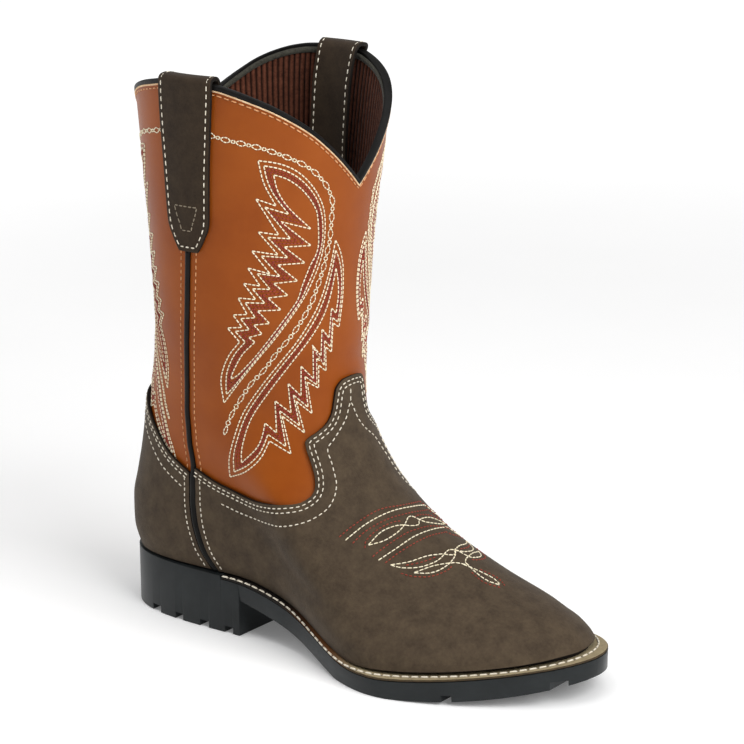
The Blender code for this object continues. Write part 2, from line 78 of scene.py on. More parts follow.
class Section(NamedTuple):
    """One section of the last: heights, ends, half girths at four angles, swing and medial cut-in."""

    heel_z: float
    ball_z: float
    toe_rise: float
    back_x: float
    front_x: float
    heel_g: float
    waist_g: float
    ball_g: float
    front_g: float
    ball_y: float
    toe_y: float
    medial_in: float


SECTIONS = (
    Section(25.5, 9.3, 9.3, 6.5, 227.5, 52.5, 25.5, 46.5, 44.5, -3.5, 1.5, 7.0),
    Section(36.0, 17.5, 6.5, 3.0, 223.0, 53.0, 28.5, 46.8, 46.0, -3.0, 1.5, 6.0),
    Section(47.0, 25.0, 5.0, 2.7, 214.0, 51.5, 29.5, 44.0, 40.8, -2.5, 1.5, 5.0),
    Section(58.0, 34.5, 4.5, 5.0, 190.5, 48.0, 29.5, 41.5, 37.0, -2.0, 1.5, 3.5),
    Section(70.0, 47.0, 3.0, 7.8, 162.8, 44.2, 30.8, 37.7, 32.8, -1.0, 1.2, 2.0),
    Section(84.0, 63.3, 1.0, 10.8, 132.5, 41.2, 32.8, 34.5, 31.5, -0.5, 0.6, 0.5),
    Section(100.0, 87.5, 0.0, 14.0, 116.8, 40.3, 35.0, 35.0, 32.5, 0.0, 0.0, 0.0),
    Section(118.0, 114.0, 0.0, 17.8, 113.0, 41.0, 39.0, 39.0, 39.0, 0.0, 0.0, 0.0),
    Section(140.0, 140.0, 0.0, 20.5, 112.5, 44.0, 44.0, 44.0, 44.0, 0.0, 0.0, 0.0),
    Section(170.0, 170.0, 0.0, 19.8, 114.0, 46.8, 46.8, 46.8, 46.8, 0.0, 0.0, 0.0),
    Section(200.0, 200.0, 0.0, 17.2, 118.0, 49.0, 49.0, 49.0, 49.0, 0.0, 0.0, 0.0),
    Section(230.0, 230.0, 0.0, 13.9, 123.4, 50.4, 50.4, 50.4, 50.4, 0.0, 0.0, 0.0),
    Section(250.0, 250.0, 0.0, 12.0, 128.8, 51.6, 51.6, 51.6, 51.6, 0.0, 0.0, 0.0),
)
SOLE_OUTLINE = Section(0.0, 0.0, 0.0, 3.5, 236.0, 56.0, 31.0, 53.0, 48.0, -3.5, 1.5, 8.0)


def rows(kind: type, *values: tuple) -> tuple:
    """Table of named rows, made from plain ones."""
    return tuple(kind(*value) for value in values)


class EdgePoint(NamedTuple):
    """Corner of a panel's upper edge: degrees from the panel's middle, and height."""

    degrees: float
    height: float


VAMP_EDGE = rows(
    EdgePoint,
    (0.0, 114.8), (7.5, 114.3), (11.5, 113.1), (14.7, 111.0), (17.5, 106.4), (20.5, 101.5), (25.5, 97.2),
    (32.5, 93.8), (41.3, 90.0), (42.5, 87.0), (43.4, 82.0), (45.2, 76.5), (49.4, 71.2), (54.7, 68.4),
    (65.0, 66.1), (80.0, 65.6), (95.0, 64.5), (105.5, 65.8), (120.0, 71.0),
)
TONGUE_PEAK = rows(
    EdgePoint,
    (34.0, 75.0), (31.5, 81.0), (30.3, 86.4), (24.0, 90.0), (17.0, 94.5), (11.5, 98.3), (5.8, 104.0),
    (2.6, 98.3), (-0.8, 94.3), (-6.5, 90.4), (-14.0, 86.4), (-18.5, 81.0), (-22.5, 76.0),
)
COUNTER_EDGE = rows(
    EdgePoint,
    (0.0, 99.0), (27.0, 95.5), (46.0, 84.0), (56.0, 74.0), (67.0, 68.0),
)


class SeamPoint(NamedTuple):
    """Place of the lateral side seam: level and degrees from the back."""

    level: float
    degrees: float


SEAM = rows(
    SeamPoint,
    (0.0, 60.0), (1.9, 58.0), (2.6, 58.8), (3.3, 61.0), (4.0, 64.5), (4.7, 69.0), (5.5, 74.0),
    (6.5, 78.3), (7.4, 81.5), (8.4, 86.5), (9.2, 89.0), (10.5, 90.0), (12.0, 90.0),
)


class StrapFold(NamedTuple):
    """Place along a pull strap: height, distance of its near face from the shaft, and width."""

    height: float
    lift: float
    width: float


STRAP_FOLDS = rows(
    StrapFold,
    (170.0, 0.4, 9.5), (176.0, 0.4, 16.0), (182.0, 0.4, 20.5), (205.0, 0.5, 23.0), (225.0, 0.8, 25.5),
    (236.0, 1.0, 26.5), (239.8, 1.1, 26.5), (240.9, 0.6, 26.5), (241.2, -1.2, 26.3), (240.9, -3.2, 26.0),
    (239.6, -4.8, 26.2), (234.0, -6.2, 26.5), (222.0, -7.2, 27.0), (205.0, -7.2, 27.5),
    (190.0, -6.2, 27.5), (178.0, -4.2, 27.0), (170.0, -2.9, 26.5),
)


class CollarPoint(NamedTuple):
    """Point of the collar: share of the way from a side seam, heights before and behind it."""

    from_side: float
    front: float
    lateral_back: float
    medial_back: float


COLLAR = rows(
    CollarPoint,
    (0.0, 240.3, 240.3, 240.3), (0.16, 239.3, 239.6, 239.7), (0.24, 237.6, 238.4, 238.7),
    (0.33, 235.1, 236.9, 236.6), (0.43, 231.8, 234.6, 233.2), (0.53, 227.6, 231.6, 228.4),
    (0.64, 222.1, 227.2, 222.8), (0.76, 214.5, 219.6, 216.2), (0.91, 203.9, 208.0, 207.0),
    (1.0, 197.5, 201.5, 201.5),
)


class Crease(NamedTuple):
    """Soft trough in the leather: degrees and height of its stations, half width and depth."""

    stations: tuple[Span, ...]
    width: float
    depth: float


CREASES = (
    Crease(((146.0, 127.0), (165.0, 121.0), (195.0, 120.5), (214.0, 126.0)), 6.5, 0.9),
    Crease(((98.0, 101.0), (112.0, 106.0), (128.0, 112.0)), 8.0, 0.8),
    Crease(((262.0, 100.0), (247.0, 107.0), (230.0, 114.0)), 8.0, 0.7),
    Crease(((320.0, 118.0), (0.0, 112.0), (38.0, 117.0)), 8.0, 0.8),
    Crease(((330.0, 152.0), (4.0, 147.0), (30.0, 151.0)), 11.0, 0.7),
    Crease(((104.0, 134.0), (121.0, 129.0), (140.0, 133.0)), 10.0, 0.5),
    Crease(((214.0, 141.0), (235.0, 136.0), (256.0, 142.0)), 10.0, 0.6),
)


def ease(t: Array) -> Array:
    """Smooth step from 0 to 1."""
    t = np.clip(t, 0.0, 1.0)
    return t * t * (3.0 - 2.0 * t)


def ease_over(value: Array, span: Span) -> Array:
    """Smooth step from 0 to 1 while a value passes over a span."""
    return ease((value - span[0]) / (span[1] - span[0]))


def unit(vectors: Array) -> Array:
    """Vectors at length 1."""
    return vectors / np.maximum(np.linalg.norm(vectors, axis=-1, keepdims=True), 1e-9)


def through_rows(keys: Sequence[float], rows: Sequence, at: Array) -> Array:
    """Smooth curve through table rows that never overshoots them.

    Args:
        keys: Rising places of the rows.
        rows: One value, or one row of values, for each key.
        at: Places at which the curve is wanted.

    Returns:
        Values at those places, with the row's columns last.
    """
    keys = np.asarray(keys, float)
    rows = np.asarray(rows, float)
    at = np.clip(np.asarray(at, float), keys[0], keys[-1])
    columns = (1,) * (rows.ndim - 1)
    gap = np.diff(keys).reshape(-1, *columns)
    step = np.diff(rows, axis=0) / gap
    before, after = step[:-1], step[1:]
    same_way = before * after > 0.0
    total = np.where(same_way, before + after, 1.0)
    inner = np.where(same_way, 2.0 * before * after / total, 0.0)
    slope = np.concatenate([step[:1], inner, step[-1:]])
    i = np.clip(np.searchsorted(keys, at, side="right") - 1, 0, len(keys) - 2)
    t = ((at - keys[i]) / np.diff(keys)[i]).reshape(at.shape + columns)
    start = (1.0 + 2.0 * t) * (1.0 - t) ** 2 * rows[i] + t * (1.0 - t) ** 2 * gap[i] * slope[i]
    end = t * t * (3.0 - 2.0 * t) * rows[i + 1] + t * t * (t - 1.0) * gap[i] * slope[i + 1]
    return start + end


def run_lengths(points: Array) -> Array:
    """Distance of each point from the first along a line."""
    return np.concatenate([[0.0], np.cumsum(np.linalg.norm(np.diff(points, axis=0), axis=1))])


def along_line(points: Array, at: Array) -> Array:
    """Points at distances along a line of points."""
    length = run_lengths(points)
    return np.stack([np.interp(at, length, column) for column in points.T], axis=-1)


def smooth_line(corners: Sequence[Pixel], steps: int = 8) -> Array:
    """Rounded line through corners.

    Args:
        corners: Points that the line passes.
        steps: Number of pieces between two corners.

    Returns:
        Points along the line, one row each.
    """
    p = np.asarray(corners, float)
    p = np.concatenate([2.0 * p[:1] - p[1:2], p, 2.0 * p[-1:] - p[-2:-1]])
    t = np.linspace(0.0, 1.0, steps, endpoint=False)[None, :, None]
    a, b, c, d = (p[k : len(p) - 3 + k, None, :] for k in range(4))
    line = b + 0.5 * t * (c - a + t * (2.0 * a - 5.0 * b + 4.0 * c - d + t * (3.0 * (b - c) + d - a)))
    return np.concatenate([line.reshape(-1, p.shape[1]), p[-2:-1]])


@dataclass
class Last:
    """Form of the boot's outer face, with the soft creases of its leather.

    Args:
        shift_x: Distance from the back of the heel's outline to the frame's origin.
    """

    shift_x: float
    wall: float = 2.4
    heel_end_x: float = 70.0
    ball_x: float = 152.0
    spring_x: float = 160.0
    toe_x: float = 233.0
    spring_limit: float = 1.2
    spring_power: float = 1.5
    medial_rise: float = 2.0
    girth_angles: Span = (math.radians(80.0), math.radians(115.0))
    medial_waist: Span = (math.radians(40.0), math.radians(80.0))
    medial_toe: Span = (math.radians(100.0), math.radians(160.0))
    ball_swing: Span = (0.25, 0.7)
    toe_swing: Span = (0.6, 1.0)
    small_step: float = 1e-3
    crease_steps: int = 12
    crease_fade: float = 0.3
    crease_lines: list[Array] = field(default_factory=list)

    def __post_init__(self) -> None:
        """Lay the creases' lines on the form."""
        for crease in CREASES:
            degrees, heights = np.transpose(crease.stations)
            degrees = np.unwrap(degrees, period=360.0)
            line = smooth_line(list(zip(degrees, heights)), self.crease_steps)
            angle = np.radians(line[:, 0])
            self.crease_lines.append(self.point(angle, self.level_at(angle, line[:, 1])))

    def plan(self, angle: Array, section: Section) -> Line:
        """Outline of a section seen from above.

        Args:
            angle: Angles round the boot.
            section: Sizes of the section, single or one for each angle.

        Returns:
            Distances from the back of the heel, and distances to the medial side.
        """
        turn = np.abs((angle + math.pi) % FULL_TURN - math.pi)
        along = (1.0 - np.cos(turn)) / 2.0
        x = section.back_x + (section.front_x - section.back_x) * along
        waist, ball = self.girth_angles
        girth = section.heel_g + (section.waist_g - section.heel_g) * ease(turn / waist)
        girth = girth + (section.ball_g - section.waist_g) * ease_over(turn, (waist, ball))
        girth = girth + (section.front_g - section.ball_g) * ease_over(turn, (ball, math.pi))
        lateral = (angle % FULL_TURN) <= math.pi
        cut_in = ease_over(turn, self.medial_waist) * (1.0 - ease_over(turn, self.medial_toe))
        girth = girth - np.where(lateral, 0.0, section.medial_in * cut_in)
        swing = section.ball_y * ease_over(along, self.ball_swing)
        swing = swing + (section.toe_y - section.ball_y) * ease_over(along, self.toe_swing)
        return x, swing + np.where(lateral, -1.0, 1.0) * girth * np.sin(turn)

    def row_height(self, x: Array, section: Section) -> Array:
        """Height of a section at a distance from the back of the heel.

        Args:
            x: Distances from the back of the heel.
            section: Sizes of the section.

        Returns:
            Heights over the floor.
        """
        arch = ease_over(x, (self.heel_end_x, self.ball_x))
        spring = np.clip((x - self.spring_x) / (self.toe_x - self.spring_x), 0.0, self.spring_limit)
        spring = spring**self.spring_power
        return section.heel_z + (section.ball_z - section.heel_z) * arch + section.toe_rise * spring

    def seat(self, x: Array) -> Array:
        """Height of the feather edge at a place along the frame."""
        return self.row_height(x - self.shift_x, SECTIONS[0])

    def point(self, angle: Array, level: Array) -> Array:
        """Place on the smooth form, before its creases.

        Args:
            angle: Angles round the boot.
            level: Levels over the sole.

        Returns:
            Places, with x, y and z last.
        """
        angle, level = np.broadcast_arrays(np.asarray(angle, float), np.asarray(level, float))
        rows = through_rows(np.arange(len(SECTIONS)), SECTIONS, level)
        section = Section(*np.moveaxis(rows, -1, 0))
        x, y = self.plan(angle, section)
        return np.stack([x + self.shift_x, y, self.row_height(x, section)], axis=-1)

    def normal(self, angle: Array, level: Array) -> Array:
        """Outward direction of the form.

        Args:
            angle: Angles round the boot.
            level: Levels over the sole.

        Returns:
            Directions of length 1.
        """
        step = self.small_step
        round_way = self.point(angle + step, level) - self.point(angle - step, level)
        low = np.maximum(np.asarray(level, float) - step, 0.0)
        return unit(np.cross(round_way, self.point(angle, low + 2.0 * step) - self.point(angle, low)))

    def relief(self, places: Array) -> Array:
        """Rise of the creased leather over the smooth form.

        Args:
            places: Places on the smooth form.

        Returns:
            Rises, below zero in a trough.
        """
        total = np.zeros(places.shape[:-1])
        for crease, line in zip(CREASES, self.crease_lines):
            apart = ((places[..., None, :] - line) ** 2).sum(axis=-1)
            share = apart.argmin(axis=-1) / (len(line) - 1)
            fade = ease(np.minimum(share, 1.0 - share) / self.crease_fade)
            total = total - crease.depth * np.exp(-apart.min(axis=-1) / crease.width**2) * fade
        return total

    def skin(self, angle: Array, level: Array, lift: Array | float = 0.0) -> Array:
        """Place at a distance outwards from the creased leather.

        Args:
            angle: Angles round the boot.
            level: Levels over the sole.
            lift: Distances outwards.

        Returns:
            Places, with x, y and z last.
        """
        place = self.point(angle, level)
        rise = np.asarray(lift, float) + self.relief(place)
        return place + rise[..., None] * self.normal(angle, level)

    def level_at(self, angle: Array, height: Array, halvings: int = 36) -> Array:
        """Level at which the form reaches a height, found by halving.

        Args:
            angle: Angles round the boot.
            height: Wanted heights.
            halvings: How often the span of levels is halved.

        Returns:
            Levels over the sole.
        """
        angle, height = np.broadcast_arrays(np.asarray(angle, float), np.asarray(height, float))
        low = np.zeros(angle.shape)
        high = np.full(angle.shape, len(SECTIONS) - 1.0)
        for _ in range(halvings):
            middle = (low + high) / 2.0
            below = self.point(angle, middle)[..., 2] < height
            low = np.where(below, middle, low)
            high = np.where(below, high, middle)
        return (low + high) / 2.0

    def turn_for(self, distance: float, angle: Array, level: Array) -> Array:
        """Turn round the boot that covers a distance on its face."""
        run = self.point(angle + self.small_step, level) - self.point(angle - self.small_step, level)
        return distance * 2.0 * self.small_step / np.linalg.norm(run, axis=-1)

    def collar(self, angle: Array) -> Array:
        """Height of the scalloped collar, which dips at front and back.

        Args:
            angle: Angles round the boot.

        Returns:
            Heights over the floor.
        """
        from_side = np.abs((angle % math.pi) - math.pi / 2.0) / (math.pi / 2.0)
        table = np.array(COLLAR)
        heights = through_rows(table[:, 0], table[:, 1:], from_side)
        front, lateral, medial = np.moveaxis(heights, -1, 0)
        back = np.where(np.sin(angle) < 0.0, medial, lateral)
        rise = self.medial_rise * np.clip(-np.sin(angle), 0.0, 1.0)
        return rise + np.where(np.cos(angle) < 0.0, front, back)

    def seam(self, level: Array) -> Array:
        """Angle of the lateral side seam; the medial seam mirrors it."""
        levels, degrees = np.transpose(SEAM)
        return np.radians(through_rows(levels, degrees, level))

    def slide(self, angle: Array, level: Array, way: Array) -> Line:
        """Changes of angle and level that move places along the face.

        Args:
            angle: Angles of the places.
            level: Levels of the places.
            way: Wanted movement of each place.

        Returns:
            Changes of angle and of level.
        """
        step = self.small_step
        by_angle = (self.point(angle + step, level) - self.point(angle - step, level)) / (2.0 * step)
        by_level = (self.point(angle, level + step) - self.point(angle, level - step)) / (2.0 * step)
        aa = (by_angle * by_angle).sum(-1)
        al = (by_angle * by_level).sum(-1)
        ll = (by_level * by_level).sum(-1)
        a = (by_angle * way).sum(-1)
        b = (by_level * way).sum(-1)
        whole = aa * ll - al * al
        return (ll * a - al * b) / whole, (aa * b - al * a) / whole

    def inset(self, angle: Array, level: Array, distance: float, side: float) -> Line:
        """Line that keeps a distance inside an edge line on the face.

        Args:
            angle: Angles along the edge.
            level: Levels along the edge.
            distance: Distance to keep.
            side: 1 or -1, for the side of the edge.

        Returns:
            Angles and levels of the line, without the parts where it would cross itself.
        """
        stride, tolerance, lowest = 0.5, 0.95, 0.02
        edge = self.point(angle, level)
        way = side * np.cross(self.normal(angle, level), unit(np.gradient(edge, axis=0)))
        steps = max(1, math.ceil(distance / stride))
        for _ in range(steps):
            by_angle, by_level = self.slide(angle, level, unit(way) * distance / steps)
            angle, level = angle + by_angle, np.maximum(level + by_level, lowest)
            facing = self.normal(angle, level)
            way = way - (way * facing).sum(-1, keepdims=True) * facing
        apart = np.linalg.norm(self.point(angle, level)[:, None] - edge[None], axis=-1).min(axis=1)
        keep = apart > tolerance * distance
        return angle[keep], level[keep]


@dataclass(frozen=True)
class PhotoView:
    """Camera of the photograph, in the frame's millimetres and the photograph's pixels."""

    azimuth: float = math.radians(36.2)
    elevation: float = math.radians(15.5)
    distance: float = 1176.3
    target: tuple[float, float, float] = (-1.2, 9.15, 114.6)
    focal_px: float = 2821.7
    image_px: float = 744.0
    sensor_mm: float = 36.0
    clip_end: float = 100.0

    def axes(self) -> tuple[Array, Array, Array]:
        """Directions to the right of the picture, up it and back to the camera.

        Returns:
            Three directions of length 1.
        """
        a, e = self.azimuth, self.elevation
        back = np.array((math.sin(a) * math.cos(e), -math.cos(a) * math.cos(e), math.sin(e)))
        right = np.array((math.cos(a), math.sin(a), 0.0))
        return right, np.cross(back, right), back

    def eye(self) -> Array:
        """Place of the camera."""
        return np.array(self.target) + self.axes()[2] * self.distance

    def project(self, places: Array) -> Array:
        """Pixels at which places are seen.

        Args:
            places: Places in the frame.

        Returns:
            Pixels across and down.
        """
        right, up, back = self.axes()
        ray = places - self.eye()
        depth = -(ray @ back)
        middle = self.image_px / 2.0
        across = middle + self.focal_px * (ray @ right) / depth
        down = middle - self.focal_px * (ray @ up) / depth
        return np.stack([across, down], axis=-1)

    def place_camera(self) -> None:
        """Add the camera and make it the scene's."""
        data = bpy.data.cameras.new("photo_camera")
        data.sensor_width = self.sensor_mm
        data.lens = self.focal_px * self.sensor_mm / self.image_px
        data.clip_end = self.clip_end
        camera = bpy.data.objects.new("photo_camera", data)
        bpy.context.scene.collection.objects.link(camera)
        turn = Matrix([Vector(axis) for axis in self.axes()]).transposed().to_4x4()
        camera.matrix_world = Matrix.Translation(Vector(self.eye() * MM)) @ turn
        bpy.context.scene.camera = camera


@dataclass
class PhotoTrace:
    """Finds the place on the boot's near face that a pixel of the photograph shows."""

    view: PhotoView
    last: Last
    lift: float
    angles: Span
    levels: Span
    cells: int = 140
    rounds: int = 8
    turn_limit: float = 0.05
    rise_limit: float = 0.2
    flat_px: float = 1.0

    def __post_init__(self) -> None:
        """Project a net of places that face the camera."""
        spread = [np.linspace(*span, self.cells) for span in (self.angles, self.levels)]
        self.net = np.stack(np.meshgrid(*spread, indexing="ij"), axis=-1).reshape(-1, 2)
        places = self.last.skin(self.net[:, 0], self.net[:, 1], self.lift)
        facing = self.last.normal(self.net[:, 0], self.net[:, 1])
        seen = (facing * (self.view.eye() - places)).sum(-1) > 0.0
        self.net = self.net[seen]
        self.spots = self.view.project(places[seen])

    def shown(self, angle: Array, level: Array) -> Array:
        """Pixels at which places on the face are seen."""
        return self.view.project(self.last.skin(angle, level, self.lift))

    def facing(self, angle: Array, level: Array) -> Array:
        """How squarely places face the camera, from 0 at the boot's outline to 1."""
        away = unit(self.view.eye() - self.last.skin(angle, level, self.lift))
        return (self.last.normal(angle, level) * away).sum(-1)

    def find(self, pixels: Array) -> Line:
        """Places on the face that pixels show.

        Args:
            pixels: Pixels of the photograph, one row each.

        Returns:
            Angles and levels of the places.
        """
        nearest = [int(((self.spots - pixel) ** 2).sum(-1).argmin()) for pixel in pixels]
        angle, level = self.net[nearest].T.copy()
        step = self.last.small_step
        for _ in range(self.rounds):
            miss = pixels - self.shown(angle, level)
            by_angle = (self.shown(angle + step, level) - self.shown(angle - step, level)) / (2.0 * step)
            by_level = (self.shown(angle, level + step) - self.shown(angle, level - step)) / (2.0 * step)
            whole = by_angle[:, 0] * by_level[:, 1] - by_angle[:, 1] * by_level[:, 0]
            whole = np.where(np.abs(whole) < self.flat_px, self.flat_px, whole)
            turn = (miss[:, 0] * by_level[:, 1] - miss[:, 1] * by_level[:, 0]) / whole
            rise = (miss[:, 1] * by_angle[:, 0] - miss[:, 0] * by_angle[:, 1]) / whole
            angle = angle + np.clip(turn, -self.turn_limit, self.turn_limit)
            level = np.clip(level + np.clip(rise, -self.rise_limit, self.rise_limit), *self.levels)
        return angle, level


def linear(code: str) -> tuple[float, float, float, float]:
    """Linear colour of an sRGB hex code such as #A85A2A."""
    parts = [int(code[i : i + 2], 16) / 255.0 for i in (1, 3, 5)]
    return (*(p / 12.92 if p <= 0.04045 else ((p + 0.055) / 1.055) ** 2.4 for p in parts), 1.0)


def add_node(
    tree: NodeTree, kind: str, settings: dict | None = None, inputs: dict | None = None
) -> Node:
    """Add a node with its settings and links.

    Args:
        tree: Tree that gets the node.
        kind: Blender's name for the kind of node.
        settings: Values of the node's own properties.
        inputs: For each input's name or number, a value or the output that it is linked to.

    Returns:
        The node.
    """
    node = tree.nodes.new(kind)
    for name, value in (settings or {}).items():
        setattr(node, name, value)
    for name, value in (inputs or {}).items():
        if isinstance(value, NodeSocket):
            tree.links.new(value, node.inputs[name])
        else:
            node.inputs[name].default_value = value
    return node


# A Mix node's sockets by number, because their names repeat
FACTOR, FLOAT_A, FLOAT_B, COLOUR_A, COLOUR_B = 0, 2, 3, 6, 7
MIXED_FLOAT, MIXED_COLOUR = 0, 2
# How ragged each noise is, and which part of it counts
CLOUD = {"Detail": 4.0, "Roughness": 0.6}
CLOUD_SPAN = {"From Min": 0.3, "From Max": 0.7}
FLECK = {"Detail": 2.0}
FLECK_SIZE = 2.0
FIBRES = {"Detail": 5.0, "Roughness": 0.7}
PORE_SPAN = {"From Max": 0.25}
FIBRE_ROUGHNESS = 0.4
BUMP_STRENGTH = 0.9


class Grain(Enum):
    """How a surface's fine texture is made."""

    CELLS = "cells"
    NAP = "nap"


@dataclass(frozen=True)
class Finish:
    """Finish with two tones that drift into each other and a fine grain.

    Args:
        name: Material and how its surface was made.
        dark: Colour of the darker tone.
        light: Colour of the lighter tone.
        mottle: Size of the drift between the tones.
        grain: Kind of the fine texture.
        grain_size: Size of the fine texture.
        grain_depth: Depth of the fine texture.
        smooth: Roughness where the surface is smoothest.
        rough: Roughness where it is roughest.
        speckle: Share of the fine speckle in the drift between the tones.
        ior: Index of refraction.
        shine: Share of the mirror-like reflection, where 0.5 is a clean surface.
        sheen: Strength of the bloom that short fibres give at grazing angles.
    """

    name: str
    dark: str
    light: str
    mottle: float
    grain: Grain
    grain_size: float
    grain_depth: float
    smooth: float
    rough: float
    speckle: float = 0.25
    ior: float = 1.45
    shine: float = 0.5
    sheen: float = 0.0

    def material(self) -> Material:
        """Material with this finish, made once for each name.

        Returns:
            The material.
        """
        made = bpy.data.materials.get(self.name)
        if made:
            return made
        made = bpy.data.materials.new(self.name)
        made.use_nodes = True
        tree = made.node_tree
        shader = tree.nodes["Principled BSDF"].inputs
        shader["IOR"].default_value = self.ior
        shader["Sheen Weight"].default_value = self.sheen
        shader["Sheen Roughness"].default_value = FIBRE_ROUGHNESS
        shader["Specular IOR Level"].default_value = self.shine
        place = add_node(tree, "ShaderNodeTexCoord").outputs["Object"]
        tree.links.new(self.tones(tree, place), shader["Base Color"])
        fine = self.fine(tree, place)
        span = {"Value": fine, "To Min": self.rough, "To Max": self.smooth}
        rough = add_node(tree, "ShaderNodeMapRange", None, span)
        tree.links.new(rough.outputs["Result"], shader["Roughness"])
        relief = {"Height": fine, "Distance": self.grain_depth * MM, "Strength": BUMP_STRENGTH}
        bump = add_node(tree, "ShaderNodeBump", None, relief)
        tree.links.new(bump.outputs["Normal"], shader["Normal"])
        return made

    def tones(self, tree: NodeTree, place: NodeSocket) -> NodeSocket:
        """Colour that drifts between the two tones, with a finer speckle.

        Args:
            tree: Tree of the material.
            place: Coordinates of the pattern.

        Returns:
            Output with the colour.
        """
        cloud = {"Vector": place, "Scale": 1.0 / (self.mottle * MM), **CLOUD}
        drift = add_node(tree, "ShaderNodeTexNoise", None, cloud)
        grain = {"Vector": place, "Scale": 1.0 / (self.grain_size * FLECK_SIZE * MM), **FLECK}
        fleck = add_node(tree, "ShaderNodeTexNoise", None, grain)
        spread = add_node(tree, "ShaderNodeMapRange", None, {"Value": drift.outputs["Fac"], **CLOUD_SPAN})
        parts = {FACTOR: self.speckle, FLOAT_A: spread.outputs["Result"], FLOAT_B: fleck.outputs["Fac"]}
        both = add_node(tree, "ShaderNodeMix", {"data_type": "FLOAT"}, parts)
        share = both.outputs[MIXED_FLOAT]
        dyes = {FACTOR: share, COLOUR_A: linear(self.dark), COLOUR_B: linear(self.light)}
        return add_node(tree, "ShaderNodeMix", {"data_type": "RGBA"}, dyes).outputs[MIXED_COLOUR]

    def fine(self, tree: NodeTree, place: NodeSocket) -> NodeSocket:
        """Height of the fine texture, from 0 to 1.

        Args:
            tree: Tree of the material.
            place: Coordinates of the pattern.

        Returns:
            Output with the height.
        """
        grid = {"Vector": place, "Scale": 1.0 / (self.grain_size * MM)}
        if self.grain is Grain.CELLS:
            cells = add_node(tree, "ShaderNodeTexVoronoi", {"feature": "DISTANCE_TO_EDGE"}, grid)
            pores = {"Value": cells.outputs["Distance"], **PORE_SPAN}
            return add_node(tree, "ShaderNodeMapRange", None, pores).outputs["Result"]
        return add_node(tree, "ShaderNodeTexNoise", None, {**grid, **FIBRES}).outputs["Fac"]


@dataclass(frozen=True)
class WeltFinish(Finish):
    """Leather edge that turns brown at the waist and near black by the heel, and is pale round the forepart.
    """

    heel_dark: str = "#1E1A16"
    waist: str = "#7A4E2C"
    heel_dark_x: float = -22.0
    waist_x: float = 12.0
    pale_x: float = 34.0

    def tones(self, tree: NodeTree, place: NodeSocket) -> NodeSocket:
        """The two tones, then brown and near black towards the heel.

        Args:
            tree: Tree of the material.
            place: Coordinates of the pattern.

        Returns:
            Output with the colour.
        """
        pale = super().tones(tree, place)
        parts = add_node(tree, "ShaderNodeSeparateXYZ", None, {0: place})
        spans = ((self.waist_x, self.pale_x, self.waist), (self.heel_dark_x, self.waist_x, self.heel_dark))
        for start, end, colour in spans:
            reach = {"Value": parts.outputs["X"], "From Min": start * MM, "From Max": end * MM}
            share = add_node(tree, "ShaderNodeMapRange", {"interpolation_type": "SMOOTHSTEP"}, reach)
            dyes = {FACTOR: share.outputs["Result"], COLOUR_A: linear(colour), COLOUR_B: pale}
            pale = add_node(tree, "ShaderNodeMix", {"data_type": "RGBA"}, dyes).outputs[MIXED_COLOUR]
        return pale


@dataclass(frozen=True)
class ThreadFinish(Finish):
    """Yarn with painted shade where it dives: at a stitch's ends, and between a knit's ribs."""

    shade_colour: str = "#33241A"

    def tones(self, tree: NodeTree, place: NodeSocket) -> NodeSocket:
        """The two tones, then shade where the yarn dives.

        Args:
            tree: Tree of the material.
            place: Coordinates of the pattern.

        Returns:
            Output with the colour.
        """
        lit = super().tones(tree, place)
        # Painted shade, mixed in where the yarn dives
        dive = add_node(tree, "ShaderNodeAttribute", {"attribute_name": "dive"})
        dyes = {FACTOR: dive.outputs["Fac"], COLOUR_A: lit, COLOUR_B: linear(self.shade_colour)}
        return add_node(tree, "ShaderNodeMix", {"data_type": "RGBA"}, dyes).outputs[MIXED_COLOUR]


# Real pores and nap are too fine to show, so they are drawn coarser. Shared values start with the mottle
NUBUCK_NAP = (7.0, Grain.NAP, 0.7, 0.12, 0.72, 0.92, 0.5, 1.4, 0.2, 0.1)
WELT_CUT = (3.0, Grain.NAP, 0.5, 0.08, 0.6, 0.8, 0.5, 1.45, 0.2)
THREAD_TWIST = (2.0, Grain.NAP, 0.25, 0.05, 0.45, 0.6)
# Corrected-grain cowhide, waxed: smooth with fine pores and a soft, broad shine
TAN_LEATHER = Finish(
    "smooth_tan_cowhide", "#823C0A", "#964C13", 40.0, Grain.CELLS, 0.8, 0.012, 0.34, 0.42, 0.1, 1.5, 0.15
)
# Oiled nubuck, buffed: matt with a cloudy nap that takes a faint bloom at grazing angles
BROWN_NUBUCK = Finish("oiled_brown_nubuck", "#342A21", "#564939", *NUBUCK_NAP)
# The same nubuck on the straps: darker and closer
STRAP_NUBUCK = Finish("handled_brown_nubuck", "#271E17", "#3F3326", *NUBUCK_NAP)
# Cut edge of the nubuck, inked: darker and closed. Along the shaft's hem the same finish is painted shade in
# the groove over the welt
INKED_EDGE_AND_HEM_SHADE = Finish("inked_nubuck_edge", "#120F0C", "#211B16", 4.0, Grain.NAP, 0.6, 0.06, 0.6, 0.8, shine=0.2)
# Pigmented goat skin, rolled: near black with a low shine
BLACK_TRIM = Finish(
    "black_pigmented_goatskin", "#0C0B0A", "#161514", 7.0, Grain.CELLS, 0.9, 0.03, 0.34, 0.46, 0.2, 1.5, 0.12
)
# Nitrile rubber, moulded: slate black, satin, with a faint mould texture
BLACK_RUBBER = Finish(
    "moulded_nitrile_rubber", "#181B1C", "#25292A", 16.0, Grain.NAP, 0.6, 0.02, 0.3, 0.4, 0.25, 1.5, 0.22
)
# Vegetable-tanned welt leather: pale on its face, and darker towards the heel
WELT_LEATHER = WeltFinish("pale_welt_leather", "#7C6F55", "#A39577", *WELT_CUT)
# Cut edge of the welt: dark round the toe, brown at the waist and near black towards the heel
WELT_EDGE = WeltFinish("stained_welt_edge", "#2A231B", "#54452F", *WELT_CUT)
